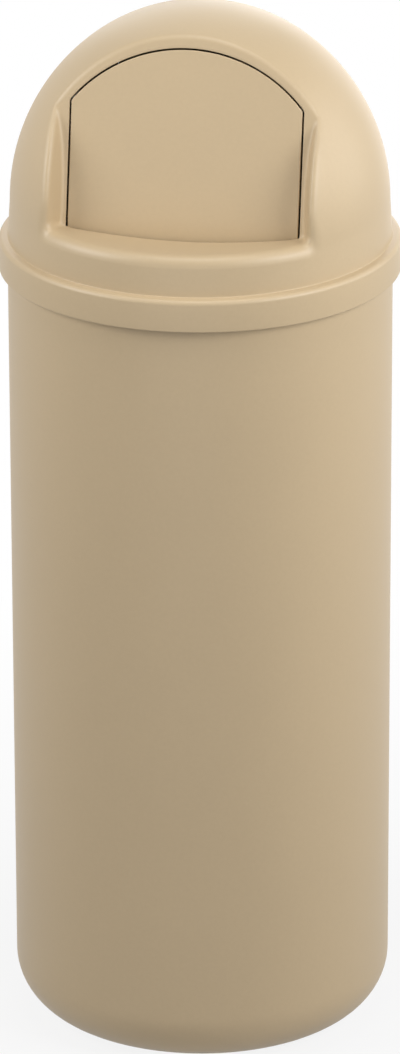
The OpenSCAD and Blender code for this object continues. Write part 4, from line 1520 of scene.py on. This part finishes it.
@dataclass
class Liner:
    """The inner liner with its turned-over rim, and the rubber band that grips a bag."""

    shop: Workshop
    foot_r: float = 169.0
    top_r: float = 173.0
    floor_z: float = 11.0
    bend_z: float = 69.0
    straight_z: float = 700.0
    rim_z: float = 806.0
    rim_r: float = 180.0
    rim_h: float = 11.0
    wall: float = 2.5
    edge_r: float = 56.0
    band_t: float = 2.0
    band_w: float = 9.0
    band_top: float = 792.0

    def shell(self) -> Mesh:
        """Builds the liner.

        Returns:
            Its mesh.
        """
        t, foot_r, top_r, rim_r = self.wall, self.foot_r, self.top_r, self.rim_r
        z0, z1, z2, z3 = self.floor_z, self.bend_z, self.straight_z, self.rim_z
        corners = [(0.0, z0, 0.0), (foot_r, z0, self.edge_r), (foot_r, z1, 0.0), (top_r, z2, 60.0),
                   (top_r, z3 - t, 1.0), (rim_r - t, z3 - t, 0.5), (rim_r - t, z3 - self.rim_h, 0.6),
                   (rim_r, z3 - self.rim_h, 0.6), (rim_r, z3, 1.5), (top_r - t, z3, 1.2),
                   (top_r - t, z2, 60.0), (foot_r - t, z1, 0.0), (foot_r - t, z0 + t, self.edge_r - t),
                   (0.0, z0 + t, 0.0)]
        return self.shop.lathe.turned("inner_liner_turned", corners, 6.0, self.shop.paint[Slot.LINER], 224,
                                      sharp_deg=30.0)

    def band(self) -> Mesh:
        """Builds the rubber band."""
        r0, r1, z0, z1 = self.top_r, self.top_r + self.band_t, self.band_top - self.band_w, self.band_top
        e, seam = self.band_t / 2.0 - 0.02, (r0, (z0 + z1) / 2.0, 0.0)
        section = [seam, (r0, z0, 0.2), (r1, z0, e), (r1, z1, e), (r0, z1, 0.2), seam]
        return self.shop.lathe.turned("bag_band_turned", section, 15.0, self.shop.paint[Slot.RUBBER], 192)


@dataclass
class DropHandle:
    """One drop handle of the liner: a bent wire with a sleeve on its bar."""

    shop: Workshop
    x: float = 152.0
    pivot_z: float = 766.0
    bar_z: float = 718.0
    half_w: float = 43.01
    end_y: float = 65.5
    wire_r: float = 3.0
    elbow_r: float = 5.0
    bend_r: float = 10.0
    grip_bore_r: float = 3.05
    grip_r: float = 6.5
    grip_l: float = 60.0

    def wire(self, side: Side) -> Mesh:
        """Builds the bent wire.

        Args:
            side: the handle's side.

        Returns:
            Its mesh.
        """
        right = [(self.half_w, self.bar_z, self.bend_r), (self.half_w, self.pivot_z, self.elbow_r),
                 (self.end_y, self.pivot_z, 0.0)]
        corners = [(-y, z, e) for y, z, e in right[::-1]] + right
        route = [(side.value * self.x, y, z) for y, z in rounded(corners, 9.0)]
        name = f"liner_handle_{side.name.lower()}_bent"
        return self.shop.wire.along(name, route, self.wire_r, self.shop.paint[Slot.ZINC], sides=20)

    def grip(self, side: Side) -> Mesh:
        """Builds the sleeve on the handle's bar.

        Args:
            side: the handle's side.

        Returns:
            Its mesh.
        """
        bore, r, half = self.grip_bore_r, self.grip_r, self.grip_l / 2.0
        seam = (bore, 0.0, 0.0)
        section = [seam, (bore, -half, 0.4), (r, -half, 1.6), (r, half, 1.6), (bore, half, 0.4), seam]
        name = f"handle_grip_{side.name.lower()}_turned"
        mesh = self.shop.lathe.turned(name, section, 12.0, self.shop.paint[Slot.GRIP], 48)
        return stood(mesh, (side.value * self.x, 0.0, self.bar_z), (1.0, 0.0, 0.0), (0.0, 0.0, -1.0),
                     (0.0, 1.0, 0.0))


@dataclass
class Fasteners:
    """The bracket screws and the rivets of the handle ears."""

    shop: Workshop
    screw_seat_w: float = -15.0
    ear_deg: float = 20.886
    rivet_seat_r: float = 173.0
    rivet_z: float = 766.0
    rivet_pitch: float = 17.0

    def screws(self) -> Mesh:
        """Builds the four bracket screws."""
        places = [FACE.point(side.value * FACE.screw_u, v, self.screw_seat_w)
                  for side in Side for v in FACE.screw_v]
        return self.shop.fasteners.heads(
            "bracket_screws_set", places, [-FACE.normal] * len(places), self.shop.paint[Slot.ZINC],
            Head_Radius=3.3, Head_Height=1.95, Shank_Radius=1.55, Shank_Length=10.5)

    def rivets(self) -> Mesh:
        """Builds the eight rivets.

        Returns:
            Their mesh.
        """
        places, axes = [], []
        for side in Side:
            for turn in (-self.ear_deg, self.ear_deg):
                angle = math.radians(turn)
                way = np.array([side.value * math.cos(angle), math.sin(angle), 0.0])
                for step in (-0.5, 0.5):
                    lift = np.array([0.0, 0.0, self.rivet_z + step * self.rivet_pitch])
                    places.append(way * self.rivet_seat_r + lift)
                    axes.append(way)
        return self.shop.fasteners.heads(
            "ear_rivets_set", places, axes, self.shop.paint[Slot.ZINC],
            Head_Radius=4.0, Head_Height=1.6, Shank_Radius=1.98, Shank_Length=9.5)


# Camera and studio


def seen_from(turn: float, rise: float) -> Vector:
    """Gives the direction from the bin to a place, from its turn from the front and its rise."""
    return Vector((math.sin(turn) * math.cos(rise), -math.cos(turn) * math.cos(rise), math.sin(rise)))


@dataclass
class Viewpoint:
    """The photograph's viewpoint, fitted to the bin's outline."""

    aim_z: float = 0.53
    distance: float = 8.59
    turn_deg: float = 9.67
    elevation_deg: float = 21.54
    roll: float = 0.0032
    focal_px: float = 8542.8
    frame_w: float = 400.0
    frame_h: float = 1054.0
    aim_px: Point2 = (201.1, 514.1)
    sensor_mm: float = 36.0
    farthest: float = 60.0

    def build(self) -> None:
        """Makes the camera and sets it as the scene's."""
        data = bpy.data.cameras.new("viewpoint")
        data.sensor_fit = "VERTICAL"
        data.sensor_height = self.sensor_mm
        data.lens = self.focal_px / self.frame_h * self.sensor_mm
        data.clip_end = self.farthest
        camera = new_object("viewpoint", data)
        turn, rise = math.radians(self.turn_deg), math.radians(self.elevation_deg)
        drop = rise + (self.frame_h / 2.0 - self.aim_px[1]) / self.focal_px
        aside = (self.aim_px[0] - self.frame_w / 2.0) / self.focal_px / math.cos(drop)
        turned = (Matrix.Rotation(turn + aside, 3, "Z") @ Matrix.Rotation(-drop, 3, "X")
                  @ Matrix.Rotation(self.roll, 3, "Y"))
        right, ahead, up = (turned.col[i] for i in range(3))
        place = Vector((0.0, 0.0, self.aim_z)) + seen_from(turn, rise) * self.distance
        camera.matrix_world = (Matrix.Translation(place)
                               @ Matrix((right, up, -ahead)).transposed().to_4x4())
        bpy.context.scene.camera = camera


@dataclass(frozen=True)
class SoftLamp:
    """One soft lamp: where it stands round the bin, its width and its power."""

    name: str
    azimuth_deg: float
    elevation_deg: float
    distance: float
    width: float
    aim_z: float
    watts: float

    def build(self) -> None:
        """Makes the lamp, which looks at the bin's axis and isn't seen itself."""
        data = bpy.data.lights.new(self.name, "AREA")
        data.size = self.width
        data.energy = self.watts
        lamp = new_object(self.name, data)
        away = seen_from(math.radians(self.azimuth_deg), math.radians(self.elevation_deg))
        place = Vector((0.0, 0.0, self.aim_z)) + away * self.distance
        lamp.matrix_world = Matrix.Translation(place) @ away.to_track_quat("Z", "Y").to_matrix().to_4x4()
        lamp.visible_camera = False


@dataclass
class Studio:
    """A pale floor and plain soft light."""

    sky: float = 0.10
    floor_tone: float = 0.50
    floor_white: float = 0.87
    floor_half: float = 9000.0
    shadow_reach: Point2 = (0.30, 1.10)
    lamps: Tuple[SoftLamp, ...] = (
        SoftLamp("right_high", 64.0, 26.0, 2.1, 1.1, 0.78, 34.5),
        SoftLamp("left_high", -62.0, 27.0, 2.1, 1.1, 0.78, 30.0),
        SoftLamp("front_top", 4.0, 74.0, 1.9, 1.0, 0.95, 16.5),
        SoftLamp("front_low", 0.0, -4.0, 2.2, 1.6, 0.74, 8.0),
        SoftLamp("right_side", 108.0, 19.0, 2.2, 1.5, 0.64, 17.0),
        SoftLamp("back", 192.0, 24.0, 2.2, 1.6, 0.85, 12.0),
        SoftLamp("back_low", 172.0, 6.0, 2.6, 1.6, 0.55, 11.0),
    )

    def seen_mask(self, tree: NodeTree) -> Socket:
        """Adds a mask that is 1 for what the camera, a reflection or glass sees.

        Args:
            tree: the node tree of the floor or the world.

        Returns:
            The mask's socket.
        """
        path = node_of(tree, "ShaderNodeLightPath").outputs
        mask = path["Is Camera Ray"]
        for ray in ("Is Glossy Ray", "Is Transmission Ray"):
            mask = calc(tree, "MAXIMUM", mask, path[ray])
        return mask

    def floor_material(self) -> Material:
        """Makes the white floor, which shows as white but keeps the bin's shadow.

        Returns:
            The material.
        """
        made = bpy.data.materials.new("pale_floor")
        tree = empty_tree(made)
        matt = flow(tree, "ShaderNodeBsdfDiffuse", {"Color": (*[self.floor_tone] * 3, 1.0)})
        place = node_of(tree, "ShaderNodeTexCoord").outputs["Object"]
        reach = node_of(tree, "ShaderNodeVectorMath", {0: place}, operation="LENGTH").outputs["Value"]
        far = flow(tree, "ShaderNodeMapRange", {
            "Value": reach, "From Min": self.shadow_reach[0], "From Max": self.shadow_reach[1],
            "To Min": self.floor_white, "To Max": 1.0})
        share = calc(tree, "MULTIPLY", self.seen_mask(tree), far)
        mix = flow(tree, "ShaderNodeMixShader", {0: share, 1: matt, 2: flow(tree, "ShaderNodeEmission")})
        node_of(tree, "ShaderNodeOutputMaterial", {"Surface": mix})
        return made

    def build(self) -> None:
        """Makes the world, the floor and the lamps."""
        world = bpy.data.worlds.new("studio")
        bpy.context.scene.world = world
        tree = empty_tree(world)
        plain, white = (flow(tree, "ShaderNodeBackground", {"Color": (1.0, 1.0, 1.0, 1.0), "Strength": power})
                        for power in (self.sky, 1.0))
        mix = flow(tree, "ShaderNodeMixShader", {0: self.seen_mask(tree), 1: plain, 2: white})
        node_of(tree, "ShaderNodeOutputWorld", {"Surface": mix})
        a = self.floor_half
        mesh = mesh_from("studio_floor", [(-a, -a, 0.0), (a, -a, 0.0), (a, a, 0.0), (-a, a, 0.0)],
                         [(0, 1, 2, 3)])
        mesh.materials.append(self.floor_material())
        floor = new_object("studio_floor", mesh)
        for lamp in self.lamps:
            lamp.build()
        bpy.context.scene.view_settings.view_transform = "Standard"


def main() -> None:
    """Builds the camera, the studio and the bin's pieces in order."""
    Viewpoint().build()
    Studio().build()
    shop = Workshop()
    shop.dress_nodes()
    hinge, liner, handle, fasteners = HingeLine(shop), Liner(shop), DropHandle(shop), Fasteners(shop)
    shop.fit(DomeTop(shop).build(), "dome", Slot.BIN, "dome_top")
    shop.fit(BodyShell(shop).build(), "base", Slot.BIN, "body_shell")
    shop.fit(PushDoor(shop).build(), "door", Slot.BIN, "push_door")
    shop.fit(hinge.rod(), "door", Slot.ZINC, "hinge_rod")
    shop.fit(hinge.push_nuts(), "door", Slot.ZINC, "rod_push_nuts")
    shop.fit(liner.shell(), "base", Slot.LINER, "inner_liner")
    shop.fit(liner.band(), "base", Slot.RUBBER, "bag_band")
    for side in Side:
        label = side.name.lower()
        shop.fit(hinge.bushing(side), "dome", Slot.NYLON, f"rod_bushing_{label}")
        shop.fit(hinge.spacer(side), "door", Slot.NYLON, f"rod_spacer_{label}")
        shop.fit(handle.wire(side), f"{label}_handle", Slot.ZINC, f"liner_handle_{label}")
        shop.fit(handle.grip(side), f"{label}_handle", Slot.GRIP, f"handle_grip_{label}")
        hinge.fit_spring(side)
    shop.fit(fasteners.screws(), "dome", Slot.ZINC, "bracket_screws")
    shop.fit(fasteners.rivets(), "base", Slot.ZINC, "ear_rivets")


if __name__ == "__main__":
    main()
